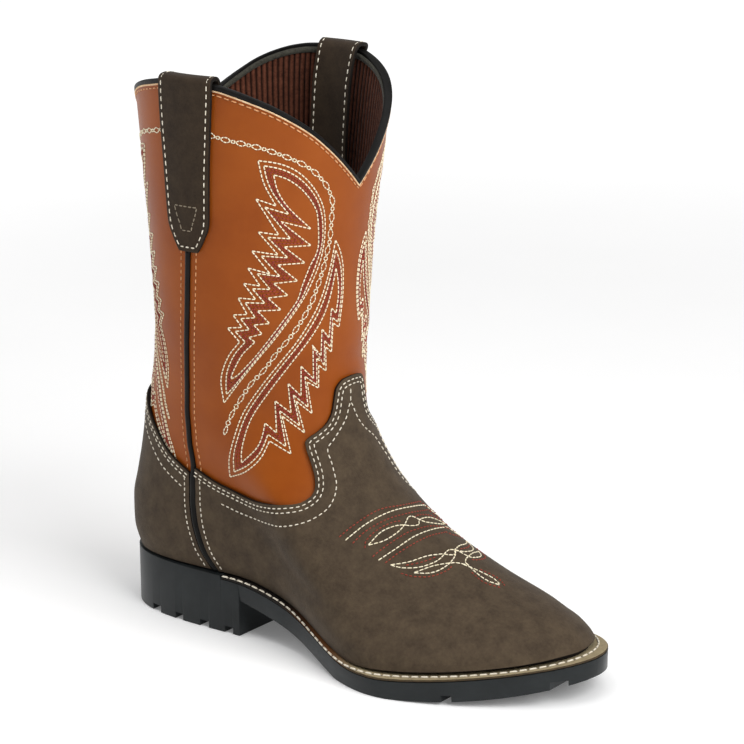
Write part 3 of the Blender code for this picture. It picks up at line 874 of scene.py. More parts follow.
# Corduroy-like rib knit: maroon and fully matt, with near-black painted shade between its ribs
LINING_CLOTH = ThreadFinish(
    "maroon_rib_knit", "#2E1610", "#84503C", 2.4, Grain.NAP, 0.45, 0.15, 0.85, 0.95, 0.6, 1.4, 0.1, 0.2,
    shade_colour="#080403",
)
# Brushed felt facing: grey-black and fuzzy
FACING_FELT = Finish(
    "brushed_felt_facing", "#24241F", "#5B5950", 1.5, Grain.NAP, 0.35, 0.2, 0.85, 0.95, 0.6, 1.4, 0.1, 0.2
)
# Raw edge of the tan hide, skived thin and dry; its pale colour is partly a painted highlight along the
# collar
RAW_EDGE_HIGHLIGHT = Finish("raw_hide_edge", "#C79468", "#F0D9B4", 2.0, Grain.NAP, 0.3, 0.05, 0.6, 0.8, shine=0.2)
# Brushed pigskin over board: pale brown and dry
INSOLE_SKIN = Finish(
    "brushed_pigskin_insole", "#7A5E42", "#A5855F", 8.0, Grain.CELLS, 1.2, 0.06, 0.6, 0.8, shine=0.2
)
# Bonded polyester thread, twisted: low sheen, with painted shade where it dives into the leather. Cream for
# the ornament
CREAM_THREAD = ThreadFinish("cream_polyester_thread", "#E4D6AE", "#FBF3DC", *THREAD_TWIST)
# Ecru for the panels' edges, the straps and the welt
WHITE_THREAD = ThreadFinish("ecru_polyester_thread", "#CFC4AC", "#F1EADB", *THREAD_TWIST)
# Tan for the collar and the shaft's side seams, close to the leather's own colour
TAN_THREAD = ThreadFinish("tan_polyester_thread", "#BE7C48", "#E2AA78", *THREAD_TWIST)
# Brick red that fills the feathers and follows the toe's rows
RED_THREAD = ThreadFinish("red_polyester_thread", "#7A2414", "#A03A22", *THREAD_TWIST)
# Dun for the straps' boxes, hardly lighter than the nubuck
DUN_THREAD = ThreadFinish("dun_polyester_thread", "#6E6353", "#978A74", *THREAD_TWIST)
# Background paper, uncoated: white and fully matt
PALE_FLOOR = Finish(
    "pale_paper_floor", "#F4F4F4", "#FAFAFA", 400.0, Grain.NAP, 2.0, 0.01, 0.8, 0.9, shine=0.1
)


def grid_faces(columns: int, rows: int, closed: bool, start: int = 0, flip: bool = False) -> list[tuple]:
    """Quads over a grid of points that is stored column by column.

    Args:
        columns: Number of columns.
        rows: Number of points in a column.
        closed: Whether the last column meets the first.
        start: Number of the grid's first point.
        flip: Whether the faces point the other way.

    Returns:
        Corner numbers of each face.
    """
    here = np.arange(columns if closed else columns - 1)
    a = (here[:, None] * rows + np.arange(rows - 1)[None, :]).ravel()
    b = (((here + 1) % columns)[:, None] * rows + np.arange(rows - 1)[None, :]).ravel()
    quads = np.stack([a, b, b + 1, a + 1], axis=-1) + start
    return [tuple(quad) for quad in (quads[:, ::-1] if flip else quads).tolist()]


def new_piece(
    name: str, points: Array, faces: list[tuple], finishes: Iterable[Finish]
) -> Object:
    """Object from points in millimetres, with its finishes.

    Args:
        name: Name of the piece.
        points: Places of its corners.
        faces: Corner numbers of each face.
        finishes: Finishes of its material slots.

    Returns:
        The object, linked to the scene.
    """
    mesh = bpy.data.meshes.new(name)
    mesh.from_pydata((np.asarray(points).reshape(-1, 3) * MM).tolist(), [], faces)
    for finish in finishes:
        mesh.materials.append(finish.material())
    mesh.shade_smooth()
    piece = bpy.data.objects.new(name, mesh)
    bpy.context.scene.collection.objects.link(piece)
    return piece


def settle(piece: Object, merge: float = 0.0, sharp: float = 50.0) -> Object:
    """Turn a piece's modifiers into a plain mesh.

    Args:
        piece: Object with its modifiers.
        merge: Distance in millimetres below which corners are joined.
        sharp: Angle in degrees above which an edge stays sharp.

    Returns:
        The same object.
    """
    graph = bpy.context.evaluated_depsgraph_get()
    mesh = bpy.data.meshes.new_from_object(piece.evaluated_get(graph), depsgraph=graph)
    mesh.name = piece.name
    piece.modifiers.clear()
    old, piece.data = piece.data, mesh
    bpy.data.meshes.remove(old)
    if merge:
        bm = bmesh.new()
        bm.from_mesh(mesh)
        bmesh.ops.remove_doubles(bm, verts=bm.verts, dist=merge * MM)
        bmesh.ops.dissolve_degenerate(bm, edges=bm.edges, dist=NO_LENGTH)
        bmesh.ops.recalc_face_normals(bm, faces=bm.faces)
        bm.to_mesh(mesh)
        bm.free()
    mesh.shade_smooth()
    mesh.set_sharp_from_angle(angle=math.radians(sharp))
    return piece


def round_edges(piece: Object, width: float, segments: int = 3, over: float = 60.0) -> None:
    """Round a piece's sharp edges.

    Args:
        piece: Object that gets the modifier.
        width: Width of the rounding.
        segments: Number of facets across it.
        over: Angle in degrees above which an edge is rounded.
    """
    edge = piece.modifiers.new("rounded_edge", "BEVEL")
    edge.width = width * MM
    edge.segments = segments
    edge.limit_method = "ANGLE"
    edge.angle_limit = math.radians(over)


def thicken(piece: Object, thick: float, edge_round: float) -> Object:
    """Give a sheet its thickness, with a rounded edge in its second finish.

    Args:
        piece: Sheet with two finishes.
        thick: Thickness, outwards from the sheet.
        edge_round: Width of the edge's rounding.

    Returns:
        The same object, as a plain mesh.
    """
    ply = piece.modifiers.new("ply", "SOLIDIFY")
    ply.thickness = thick * MM
    ply.offset = 1.0
    ply.material_offset_rim = 1
    round_edges(piece, edge_round)
    return settle(piece)


def new_tree(name: str, inputs: dict[str, str]) -> tuple[NodeTree, Node]:
    """Geometry Nodes tree with named inputs, still without nodes for its work.

    Args:
        name: Name of the tree.
        inputs: Kind of socket for each input that follows the geometry.

    Returns:
        The tree, and the node that gives its inputs.
    """
    tree = bpy.data.node_groups.new(name, "GeometryNodeTree")
    for label, kind in {"Geometry": "Geometry", **inputs}.items():
        tree.interface.new_socket(label, in_out="INPUT", socket_type=f"NodeSocket{kind}")
    tree.interface.new_socket("Geometry", in_out="OUTPUT", socket_type="NodeSocketGeometry")
    return tree, add_node(tree, "NodeGroupInput")


def run_tree(piece: Object, tree: NodeTree, values: dict) -> Object:
    """Pass a piece through a Geometry Nodes tree.

    Args:
        piece: Object that the tree starts from.
        tree: The tree.
        values: Value for each of the tree's named inputs.

    Returns:
        The same object, as a plain mesh.
    """
    nodes = piece.modifiers.new(tree.name, "NODES")
    nodes.node_group = tree
    for item in tree.interface.items_tree:
        if item.in_out == "INPUT" and item.name in values:
            nodes[item.identifier] = values[item.name]
    return settle(piece, sharp=ALL_SMOOTH)


def ride(piece: Object, slot: str, *nodes: str) -> None:
    """Hand a finished piece to the frame.

    Args:
        piece: Finished object at the origin.
        slot: The record's material slot, not used.
        nodes: CAD nodes that the piece stands for.
    """
    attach(piece, BODY)
    if nodes:
        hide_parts(*nodes)
    LOG.info("%s: %d faces", piece.name, len(piece.data.polygons))


def wall(name: str, outer: Array, inner: Array, finishes: Iterable[Finish]) -> Object:
    """Closed ring-shaped wall between two grids with the same columns.

    Args:
        name: Name of the piece.
        outer: Points of the outer grid, column by column.
        inner: Points of the inner grid, column by column.
        finishes: Finishes of its material slots.

    Returns:
        The object.
    """
    columns, rows = outer.shape[:2]
    inner_rows = inner.shape[1]
    base = columns * rows
    faces = grid_faces(columns, rows, True)
    faces += grid_faces(columns, inner_rows, True, base, True)
    for i in range(columns):
        k = (i + 1) % columns
        low = (i * rows, base + i * inner_rows, base + k * inner_rows, k * rows)
        faces.append(low)
        top = (i * rows + rows - 1, k * rows + rows - 1)
        faces.append((*top, base + (k + 1) * inner_rows - 1, base + (i + 1) * inner_rows - 1))
    points = np.concatenate([outer.reshape(-1, 3), inner.reshape(-1, 3)])
    return new_piece(name, points, faces, finishes)


def sweep(name: str, stations: Array, closed: bool, finishes: Iterable[Finish]) -> Object:
    """Solid from closed cross-sections along a path.

    Args:
        name: Name of the piece.
        stations: Points of each cross-section, station by station.
        closed: Whether the path is a ring.
        finishes: Finishes of its material slots.

    Returns:
        The object, with its faces turned outwards.
    """
    count, corners = stations.shape[:2]
    looped = np.concatenate([stations, stations[:, :1]], axis=1)
    number = np.arange(count * corners).reshape(count, corners)
    number = np.concatenate([number, number[:, :1]], axis=1).ravel()
    faces = [tuple(int(number[i]) for i in face) for face in grid_faces(count, looped.shape[1], closed)]
    if not closed:
        last = (count - 1) * corners
        faces += [tuple(range(corners))[::-1], tuple(range(last, last + corners))]
    piece = new_piece(name, stations, faces, finishes)
    bm = bmesh.new()
    bm.from_mesh(piece.data)
    bmesh.ops.recalc_face_normals(bm, faces=bm.faces)
    bm.to_mesh(piece.data)
    bm.free()
    return piece


@dataclass
class Needle:
    """Geometry Nodes tree that lays a stitch on each point of a row.

    Args:
        sides: Number of facets round the thread.
        stations: Place along the stitch, radius and dip of each of its cross-sections.
    """

    sides: int = 5
    stations: tuple[tuple[float, float, float], ...] = (
        (-0.5, 0.5, -0.75),
        (-0.3, 1.0, 0.0),
        (0.3, 1.0, 0.0),
        (0.5, 0.5, -0.75),
    )

    def __post_init__(self) -> None:
        """Model one stitch of unit length and radius, and build the tree."""
        turn = np.linspace(0.0, FULL_TURN, self.sides, endpoint=False)
        rings = [
            np.stack([np.full(turn.shape, x), r * np.cos(turn), dip + r * np.sin(turn)], axis=-1)
            for x, r, dip in self.stations
        ]
        self.stitch = sweep("stitch_shape", np.array(rings) / MM, False, ())
        # Marks the stitch's ends for the painted shade where the thread dives into its needle hole
        dive = np.repeat([float(dip < 0.0) for _, _, dip in self.stations], self.sides)
        self.stitch.data.attributes.new("dive", "FLOAT", "POINT").data.foreach_set("value", dive)
        self.stitch.hide_render = True
        self.tree = self.build_tree()

    def build_tree(self) -> NodeTree:
        """Tree with named inputs for the stitch, the thread's radius and its material.

        Returns:
            The tree.
        """
        inputs = {"Stitch": "Object", "Thread radius": "Float", "Thread": "Material"}
        tree, given = new_tree("stitch_rows", inputs)
        along, outward, run = (
            add_node(tree, "GeometryNodeInputNamedAttribute", {"data_type": kind}, {"Name": name})
            for name, kind in (("along", "FLOAT_VECTOR"), ("outward", "FLOAT_VECTOR"), ("run", "FLOAT"))
        )
        way = {"Vector": along.outputs["Attribute"]}
        lie = add_node(tree, "FunctionNodeAlignRotationToVector", {"axis": "X"}, way)
        way = {"Rotation": lie.outputs["Rotation"], "Vector": outward.outputs["Attribute"]}
        stand = add_node(tree, "FunctionNodeAlignRotationToVector", {"axis": "Z", "pivot_axis": "X"}, way)
        radius = given.outputs["Thread radius"]
        sizes = {0: run.outputs["Attribute"], 1: radius, 2: radius}
        size = add_node(tree, "ShaderNodeCombineXYZ", None, sizes)
        shape = add_node(tree, "GeometryNodeObjectInfo", None, {"Object": given.outputs["Stitch"]})
        spots = {
            "Points": given.outputs["Geometry"],
            "Instance": shape.outputs["Geometry"],
            "Rotation": stand.outputs["Rotation"],
            "Scale": size.outputs["Vector"],
        }
        laid = add_node(tree, "GeometryNodeInstanceOnPoints", None, spots)
        real = add_node(tree, "GeometryNodeRealizeInstances", None, {"Geometry": laid.outputs["Instances"]})
        smooth = add_node(tree, "GeometryNodeSetShadeSmooth", None, {"Geometry": real.outputs["Geometry"]})
        dye = {"Geometry": smooth.outputs["Geometry"], "Material": given.outputs["Thread"]}
        dyed = add_node(tree, "GeometryNodeSetMaterial", None, dye)
        add_node(tree, "NodeGroupOutput", None, {"Geometry": dyed.outputs["Geometry"]})
        return tree

    def put_away(self) -> None:
        """Remove the pattern stitch once every row is sewn."""
        bpy.data.objects.remove(self.stitch)


@dataclass
class Thread:
    """Stitches of one thread that make one piece.

    Args:
        name: Name of the piece.
        finish: Finish of the thread.
        radius: Radius of the thread.
        slot: The record's material slot.
    """

    name: str
    finish: Finish
    radius: float
    slot: str = "thread"
    rows: list[Array] = field(default_factory=list)

    def sew(self, places: Array, outward: Array, pitch: float, fill: float = 0.86) -> None:
        """Lay a row of stitches along a line.

        Args:
            places: Points of the line.
            outward: Direction away from the leather at each point.
            pitch: Length from one stitch to the next.
            fill: Share of the pitch that shows as thread.
        """
        if len(places) < 2:
            return
        length = run_lengths(places)
        whole = length[-1]
        count = max(1, round(whole / pitch))
        middle = (np.arange(count) + 0.5) * whole / count
        reach = fill * whole / count / 2.0
        start, end = along_line(places, middle - reach), along_line(places, middle + reach)
        span = end - start
        run = np.linalg.norm(span, axis=-1, keepdims=True)
        up = np.stack([np.interp(middle, length, column) for column in outward.T], axis=-1)
        self.rows.append(np.concatenate([(start + end) / 2.0, unit(span), unit(up), run], axis=1))

    def build(self, needle: Needle) -> None:
        """Sew every row and hand the piece to the frame.

        Args:
            needle: Needle that lays the stitches.
        """
        rows = np.concatenate(self.rows)
        piece = new_piece(self.name, rows[:, :3], [], ())
        for name, kind, columns in (
            ("along", "FLOAT_VECTOR", rows[:, 3:6]),
            ("outward", "FLOAT_VECTOR", rows[:, 6:9]),
            ("run", "FLOAT", rows[:, 9] * MM),
        ):
            facts = piece.data.attributes.new(name, kind, "POINT")
            facts.data.foreach_set("vector" if kind == "FLOAT_VECTOR" else "value", columns.ravel())
        values = {
            "Stitch": needle.stitch,
            "Thread radius": self.radius * MM,
            "Thread": self.finish.material(),
        }
        ride(run_tree(piece, needle.tree, values), self.slot)


@dataclass
class Shaft:
    """Tan shaft with its lining, collar binding and facing."""

    last: Last
    columns: int = 360
    foot_rows: int = 46
    shaft_rows: int = 64
    inner_rows: int = 16
    foot_top: float = 7.0
    leather: float = 1.1
    lining_gap: float = 0.1
    lining_rows: tuple[int, int] = (26, 18)
    ribs: int = 136
    rib_columns: int = 4
    rib_height: float = 0.6
    lining_drop: float = 0.3
    binding_depth: float = 1.8
    binding_out: float = 0.5
    binding_crown: float = 0.45
    binding_bite: float = 0.1
    binding_roof: float = 0.15
    binding_corner: Span = (0.3, 0.35)
    crown_steps: int = 13
    raw_radius: float = 0.4
    raw_drop: float = 0.25
    raw_out: float = 0.15
    raw_sides: int = 6
    facing_depth: float = 3.6
    facing_top: float = 1.0
    facing_thick: float = 0.55
    facing_corner: float = 0.3
    hem_shade: float = 1.6
    row_drop: float = 1.8
    row_steps: int = 1440
    pitch: float = 3.2
    thread_lift: float = 0.15

    def levels(self, angle: Array, foot_rows: int, shaft_rows: int, drop: float = 0.0) -> Array:
        """Levels of each column's points from the sole to the collar.

        Args:
            angle: Angle of each column.
            foot_rows: Number of rows on the foot.
            shaft_rows: Number of rows on the shaft.
            drop: Distance of the top row below the collar.

        Returns:
            Levels, column by column.
        """
        top = self.last.level_at(angle, self.last.collar(angle) - drop)[:, None]
        foot = np.linspace(0.0, self.foot_top, foot_rows)[None, :]
        share = np.linspace(0.0, 1.0, shaft_rows + 1)[None, 1:]
        foot = np.broadcast_to(foot, (len(angle), foot_rows))
        return np.concatenate([foot, self.foot_top + share * (top - self.foot_top)], axis=1)

    def shell(self, columns: int, rows: tuple[int, int], lift: float, drop: float = 0.0) -> Array:
        """Grid of points round the shaft at a distance from its face.

        Args:
            columns: Number of columns round the shaft.
            rows: Numbers of rows on the foot and on the shaft.
            lift: Distance outwards from the face.
            drop: Distance of the top row below the collar.

        Returns:
            Points, column by column.
        """
        angle = np.linspace(0.0, FULL_TURN, columns, endpoint=False)
        level = self.levels(angle, *rows, drop)
        return self.last.skin(np.broadcast_to(angle[:, None], level.shape), level, lift)

    def build_leather(self) -> None:
        """Tan leather of the shaft and the foot under its panels, with a strip of painted shade along the
        hem.
        """
        outer = self.shell(self.columns, (self.foot_rows, self.shaft_rows), 0.0)
        inner = self.shell(self.columns, (self.inner_rows, self.inner_rows), -self.leather)
        inner[:, -1, 2] = outer[:, -1, 2]
        piece = wall("shaft_leather", outer, inner, (TAN_LEATHER, INKED_EDGE_AND_HEM_SHADE))
        # Faces below the panels' hem take the dark edge finish: painted shade in the groove over the welt
        for face in piece.data.polygons:
            hem = float(self.last.seat(np.array(face.center.x / MM))) + self.hem_shade
            face.material_index = 1 if face.center.z < hem * MM else 0
        ride(piece, "tan_leather", "upper")

    def rib_tree(self) -> NodeTree:
        """Tree that raises ribs round the lining and marks painted shade between them, with named inputs for
        their number and height.

        Returns:
            The tree.
        """
        tree, given = new_tree("lining_ribs", {"Ribs": "Float", "Rib height": "Float", "Cloth": "Material"})
        share, inward = (
            add_node(tree, "GeometryNodeInputNamedAttribute", {"data_type": kind}, {"Name": name})
            for name, kind in (("share", "FLOAT"), ("inward", "FLOAT_VECTOR"))
        )
        wave = share.outputs["Attribute"]
        steps = (
            ("MULTIPLY", {1: given.outputs["Ribs"]}),
            ("MULTIPLY", {1: math.pi}),
            ("SINE", {}),
            ("ABSOLUTE", {}),
        )
        for operation, other in steps:
            wave = add_node(tree, "ShaderNodeMath", {"operation": operation}, {0: wave, **other}).outputs[0]
        rise = {0: wave, 1: given.outputs["Rib height"]}
        height = add_node(tree, "ShaderNodeMath", {"operation": "MULTIPLY"}, rise)
        way = {0: inward.outputs["Attribute"], "Scale": height.outputs[0]}
        offset = add_node(tree, "ShaderNodeVectorMath", {"operation": "SCALE"}, way)
        move = {"Geometry": given.outputs["Geometry"], "Offset": offset.outputs["Vector"]}
        raised = add_node(tree, "GeometryNodeSetPosition", None, move)
        # Painted shade in the valleys between the ribs, darkest at their bottoms
        valley_shade = add_node(tree, "ShaderNodeMath", {"operation": "SUBTRACT"}, {0: 1.0, 1: wave})
        mark = {"Geometry": raised.outputs["Geometry"], "Name": "dive", "Value": valley_shade.outputs[0]}
        kind = {"data_type": "FLOAT", "domain": "POINT"}
        marked = add_node(tree, "GeometryNodeStoreNamedAttribute", kind, mark)
        real = add_node(tree, "GeometryNodeRealizeInstances", None, {"Geometry": marked.outputs["Geometry"]})
        dye = {"Geometry": real.outputs["Geometry"], "Material": given.outputs["Cloth"]}
        dyed = add_node(tree, "GeometryNodeSetMaterial", None, dye)
        add_node(tree, "NodeGroupOutput", None, {"Geometry": dyed.outputs["Geometry"]})
        return tree

    def build_lining(self) -> None:
        """Ribbed cloth inside the shaft and the foot."""
        columns = self.ribs * self.rib_columns
        face = -self.last.wall + self.rib_height
        back = self.shell(columns, self.lining_rows, -self.leather - self.lining_gap, self.lining_drop)
        front = self.shell(columns, self.lining_rows, face, self.lining_drop)
        back[:, -1, 2] = front[:, -1, 2]
        piece = wall("shaft_lining", back, front, ())
        angle = np.linspace(0.0, FULL_TURN, columns, endpoint=False)
        level = self.levels(angle, *self.lining_rows, self.lining_drop)
        inward = -self.last.normal(np.broadcast_to(angle[:, None], level.shape), level)
        inward = np.concatenate([np.zeros((back.size // 3, 3)), inward.reshape(-1, 3)])
        share = np.concatenate([np.repeat(angle, grid.shape[1]) for grid in (back, front)]) / FULL_TURN
        facts = piece.data.attributes
        facts.new("inward", "FLOAT_VECTOR", "POINT").data.foreach_set("vector", inward.ravel())
        facts.new("share", "FLOAT", "POINT").data.foreach_set("value", share)
        values = {
            "Ribs": float(self.ribs),
            "Rib height": self.rib_height * MM,
            "Cloth": LINING_CLOTH.material(),
        }
        ride(run_tree(piece, self.rib_tree(), values), "lining_fabric")

    def round_collar(self, name: str, profile: Sequence[Pixel], finish: Finish) -> Object:
        """Solid that follows the collar.

        Args:
            name: Name of the piece.
            profile: Closed cross-section, as rises over the collar's edge and distances outwards.
            finish: Its finish.

        Returns:
            The object.
        """
        angle = np.linspace(0.0, FULL_TURN, self.columns, endpoint=False)[:, None]
        rise, lift = np.array(profile).T[:, None, :]
        height = self.last.collar(angle) + rise
        level = self.last.level_at(angle, height)
        stations = self.last.skin(np.broadcast_to(angle, level.shape), level, lift)
        stations[..., 2] = height
        return sweep(name, stations, True, (finish,))

    def build_collar(self) -> None:
        """Binding folded over the collar, the raw edge under it, pale partly as a painted highlight, and the
        felt facing inside.
        """
        out, depth, bite, roof = self.binding_out, self.binding_depth, self.binding_bite, self.binding_roof
        inner = -self.last.wall
        back = inner - out
        rise, side = self.binding_corner
        middle, half = (out + back) / 2.0, (out - back) / 2.0
        turn = np.linspace(0.0, math.pi, self.crown_steps)
        over = [(self.binding_crown * math.sin(t), middle + half * math.cos(t)) for t in turn]
        outside = [(-depth, bite), (-depth, out - side), (-depth + rise, out)]
        inside = [(-depth + rise, back), (-depth, back + side), (-depth, inner - bite)]
        under = [(roof, inner - bite), (roof, bite)]
        binding = self.round_collar("collar_binding_leather", outside + over + inside + under, BLACK_TRIM)
        ride(binding, "black_trim", "collar_binding")
        # Corners a radian apart, for an uneven edge
        low, raw = -depth - self.raw_drop, self.raw_radius
        edge = [(low + raw * math.sin(t), self.raw_out + raw * math.cos(t)) for t in range(self.raw_sides)]
        # Raw edge, its pale colour partly a painted highlight along the collar
        ride(self.round_collar("collar_raw_edge", edge, RAW_EDGE_HIGHLIGHT), "tan_leather")
        near, far, corner = inner + bite, inner - self.facing_thick, self.facing_corner
        low, top = -self.facing_depth, -self.facing_top
        felt = [(top, near), (low, near), (low, far + corner), (low + corner, far), (top, far)]
        ride(self.round_collar("collar_facing_felt", felt[::-1], FACING_FELT), "black_trim")

    def sew_collar(self, thread: Thread) -> None:
        """Row of stitches under the binding.

        Args:
            thread: Thread of the row.
        """
        drop = self.binding_depth + self.row_drop
        angle = np.linspace(0.0, FULL_TURN, self.row_steps)
        level = self.last.level_at(angle, self.last.collar(angle) - drop)
        places = self.last.skin(angle, level, self.thread_lift)
        thread.sew(places, self.last.normal(angle, level), self.pitch)


@dataclass
class Panel:
    """Nubuck panel on the foot between the two side seams.

    Args:
        name: Name of the piece.
        node: CAD node that it stands for.
        last: Form that it lies on.
        edge: Corners of its upper edge.
        middle: Angle of its middle.
        columns: Columns on each side of its middle.
        rows: Rows from its hem to its upper edge.
    """

    name: str
    node: str
    last: Last
    edge: tuple[EdgePoint, ...]
    middle: float
    columns: int
    rows: int
    thick: float = 1.3
    seat: float = 0.45
    hem_level: float = 0.07
    seam_room: float = 1.7
    edge_round: float = 0.45
    seam_pull: float = 4.0
    rows_in: tuple[float, ...] = (1.5, 3.3)
    third_in: float = 8.6
    peak: tuple[EdgePoint, ...] = ()
    hem_bulge: float = 0.0
    peak_top: EdgePoint = EdgePoint(3.9, 110.2)
    medial_in: float = 0.0
    medial_span: Span = (math.radians(8.0), math.radians(26.0))
    third_end: float = math.radians(4.0)
    stem_steps: int = 12
    edge_samples: int = 1200
    bulge_levels: tuple[float, ...] = (0.0, 0.5, 1.0, 1.5)
    bulge_by_level: tuple[float, ...] = (1.0, 0.85, 0.35, 0.0)
    bulge_degrees: tuple[float, ...] = (6.0, 18.0, 55.0, 78.0)
    bulge_by_turn: tuple[float, ...] = (0.0, 1.0, 1.0, 0.0)
    pitch: float = 2.7
    fill: float = LOCK_FILL
    thread_lift: float = 0.08

    def face(self) -> float:
        """Distance of the panel's outer face from the shaft's leather."""
        return self.seat + self.thick

    def turns(self) -> Array:
        """Turns of the columns from the middle, evenly spread along the upper edge.

        Returns:
            Turns in radians.
        """
        turn = np.linspace(0.0, math.radians(self.edge[-1].degrees), self.edge_samples)
        line = self.last.point(self.middle - turn, self.top_level(turn))
        length = run_lengths(line)
        return np.interp(np.linspace(0.0, length[-1], self.columns), length, turn)

    def top_level(self, turn: Array) -> Array:
        """Level of the upper edge at a turn from the middle."""
        degrees, heights = np.transpose(self.edge)
        return self.last.level_at(self.middle - turn, through_rows(np.radians(degrees), heights, turn))

    def grid(self) -> Line:
        """Angles and levels of the panel's points, column by column from side to side.

        Returns:
            Angles and levels.
        """
        turn = self.turns()
        top = self.top_level(turn)
        share = np.linspace(0.0, 1.0, self.rows)[None, :]
        level = self.hem_level + share * (top[:, None] - self.hem_level)
        seam = self.last.seam(level)
        reach = seam if math.cos(self.middle) > 0.0 else math.pi - seam
        reach = reach - self.last.turn_for(self.seam_room, seam, level)
        pull = (turn / turn[-1])[:, None] ** self.seam_pull
        bent = turn[:, None] + pull * (reach - turn[-1])
        medial = bent - (1.0 - pull) * self.medial_in * ease_over(turn, self.medial_span)[:, None]
        angle = np.concatenate([self.middle - bent[::-1], self.middle + medial[1:]])
        return angle, np.concatenate([level[::-1], level[1:]])

    def bulge(self, angle: Array, level: Array) -> Array:
        """How far the hem's leather rolls out over the welt, on both sides of the middle.

        Args:
            angle: Angles round the boot.
            level: Levels over the sole.

        Returns:
            Distances outwards.
        """
        turn = np.degrees(np.abs(angle - self.middle))
        low = np.interp(level, self.bulge_levels, self.bulge_by_level)
        return self.hem_bulge * low * np.interp(turn, self.bulge_degrees, self.bulge_by_turn)

    def build(self) -> None:
        """Panel with a rounded, inked edge."""
        angle, level = self.grid()
        points = self.last.skin(angle, level, self.seat)
        points += self.bulge(angle, level)[..., None] * self.last.normal(angle, level)
        columns, rows = angle.shape
        piece = new_piece(self.name, points, grid_faces(columns, rows, False), (BROWN_NUBUCK, INKED_EDGE_AND_HEM_SHADE))
        ride(thicken(piece, self.thick, self.edge_round), "brown_nubuck", self.node)

    def place(self, angle: Array, level: Array) -> Line:
        """Places and outward directions of a line on the panel's face."""
        return self.last.skin(angle, level, self.face() + self.thread_lift), self.last.normal(angle, level)

    def sew_edge(self, thread: Thread) -> None:
        """Two close rows and a third along the upper edge.

        Args:
            thread: Thread of the rows.
        """
        angle, level = self.grid()
        for distance in self.rows_in:
            line = self.last.inset(angle[:, -1], level[:, -1], distance, -1.0)
            thread.sew(*self.place(*line), self.pitch, self.fill)
        third, rise = self.last.inset(angle[:, -1], level[:, -1], self.third_in, -1.0)
        inner = np.abs(third - self.middle) < np.abs(angle[0, -1] - self.middle) - self.third_end
        third, rise = third[inner], rise[inner]
        if self.peak:
            degrees, heights = np.transpose(self.peak)
            turned = self.middle - np.radians(degrees)
            climb = self.last.level_at(turned, heights)
            tip = int(np.argmax(climb))
            top = self.middle - math.radians(self.peak_top.degrees)
            top_rise = float(self.last.level_at(top, self.peak_top.height))
            stem = np.linspace((turned[tip], climb[tip]), (top, top_rise), self.stem_steps)
            thread.sew(*self.place(*stem.T), self.pitch, self.fill)
            near = (third < self.middle) & (rise < climb[0])
            far = (third > self.middle) & (rise < climb[-1])
            tongue = smooth_line(list(zip(turned, climb)))
            third = np.concatenate([third[near], tongue[:, 0], third[far]])
            rise = np.concatenate([rise[near], tongue[:, 1], rise[far]])
        thread.sew(*self.place(third, rise), self.pitch, self.fill)


@dataclass
class SideSeam:
    """Black piping on a side seam, with a row of stitches on either side."""

    last: Last
    name: str
    node: str
    medial: bool
    foot_height: float = 67.5
    top_level: float = 9.02
    hem_level: float = 0.08
    foot_half: float = 1.65
    shaft_half: float = 1.25
    foot_crown: float = 2.3
    shaft_crown: float = 1.3
    foot_row: float = 4.4
    shaft_row: float = 4.0
    sides: int = 9
    stations: int = 160
    blend: Span = (-4.0, 5.0)
    cord_seat: float = 0.1
    cord_power: float = 0.7
    joint_level: float = 4.2
    joint_gap: Span = (0.1, 0.12)
    row_start: float = 0.16
    row_steps: int = 240
    foot_pitch: float = 2.5
    shaft_pitch: float = 3.0
    fill: float = LOCK_FILL
    thread_lift: float = 0.08

    def angle_at(self, level: Array, across: Array | float) -> Array:
        """Angle at a distance across the seam, towards the front where it is positive."""
        angle = self.last.seam(level) + across * self.last.turn_for(1.0, self.last.seam(level), level)
        return FULL_TURN - angle if self.medial else angle

    def build(self) -> None:
        """Cord with a rounded back, fuller on the foot than on the shaft."""
        level = np.linspace(self.hem_level, self.top_level, self.stations)[:, None]
        height = self.last.point(self.last.seam(level), level)[..., 2]
        start, end = (self.foot_height + rise for rise in self.blend)
        up = ease_over(height, (start, end))
        half = self.foot_half + (self.shaft_half - self.foot_half) * up
        crown = self.foot_crown + (self.shaft_crown - self.foot_crown) * up
        turn = np.linspace(0.0, math.pi, self.sides)[None, :]
        across = half * np.cos(turn)
        lift = self.cord_seat + crown * np.sin(turn) ** self.cord_power
        level = np.broadcast_to(level, across.shape)
        stations = self.last.skin(self.angle_at(level, across), level, lift)
        ride(sweep(self.name, stations, False, (BLACK_TRIM,)), "black_trim", self.node)

    def sew(self, foot: Thread, shaft: Thread, face: float) -> None:
        """Rows on both sides of the piping, in one thread on the foot and another on the shaft.

        Args:
            foot: Thread of the rows on the foot.
            shaft: Thread of the rows on the shaft.
            face: Distance of the panels' face from the shaft's leather.
        """
        joint = float(self.last.level_at(self.last.seam(self.joint_level), self.foot_height))
        below, above = self.joint_gap
        spans = (
            (foot, self.row_start, joint - below, self.foot_row, face, self.foot_pitch),
            (shaft, joint + above, self.top_level, self.shaft_row, 0.0, self.shaft_pitch),
        )
        for thread, low, high, apart, lift, pitch in spans:
            for side in (-1.0, 1.0):
                level = np.linspace(low, high, self.row_steps)
                angle = self.angle_at(level, side * apart)
                places = self.last.skin(angle, level, lift + self.thread_lift)
                thread.sew(places, self.last.normal(angle, level), pitch, self.fill)


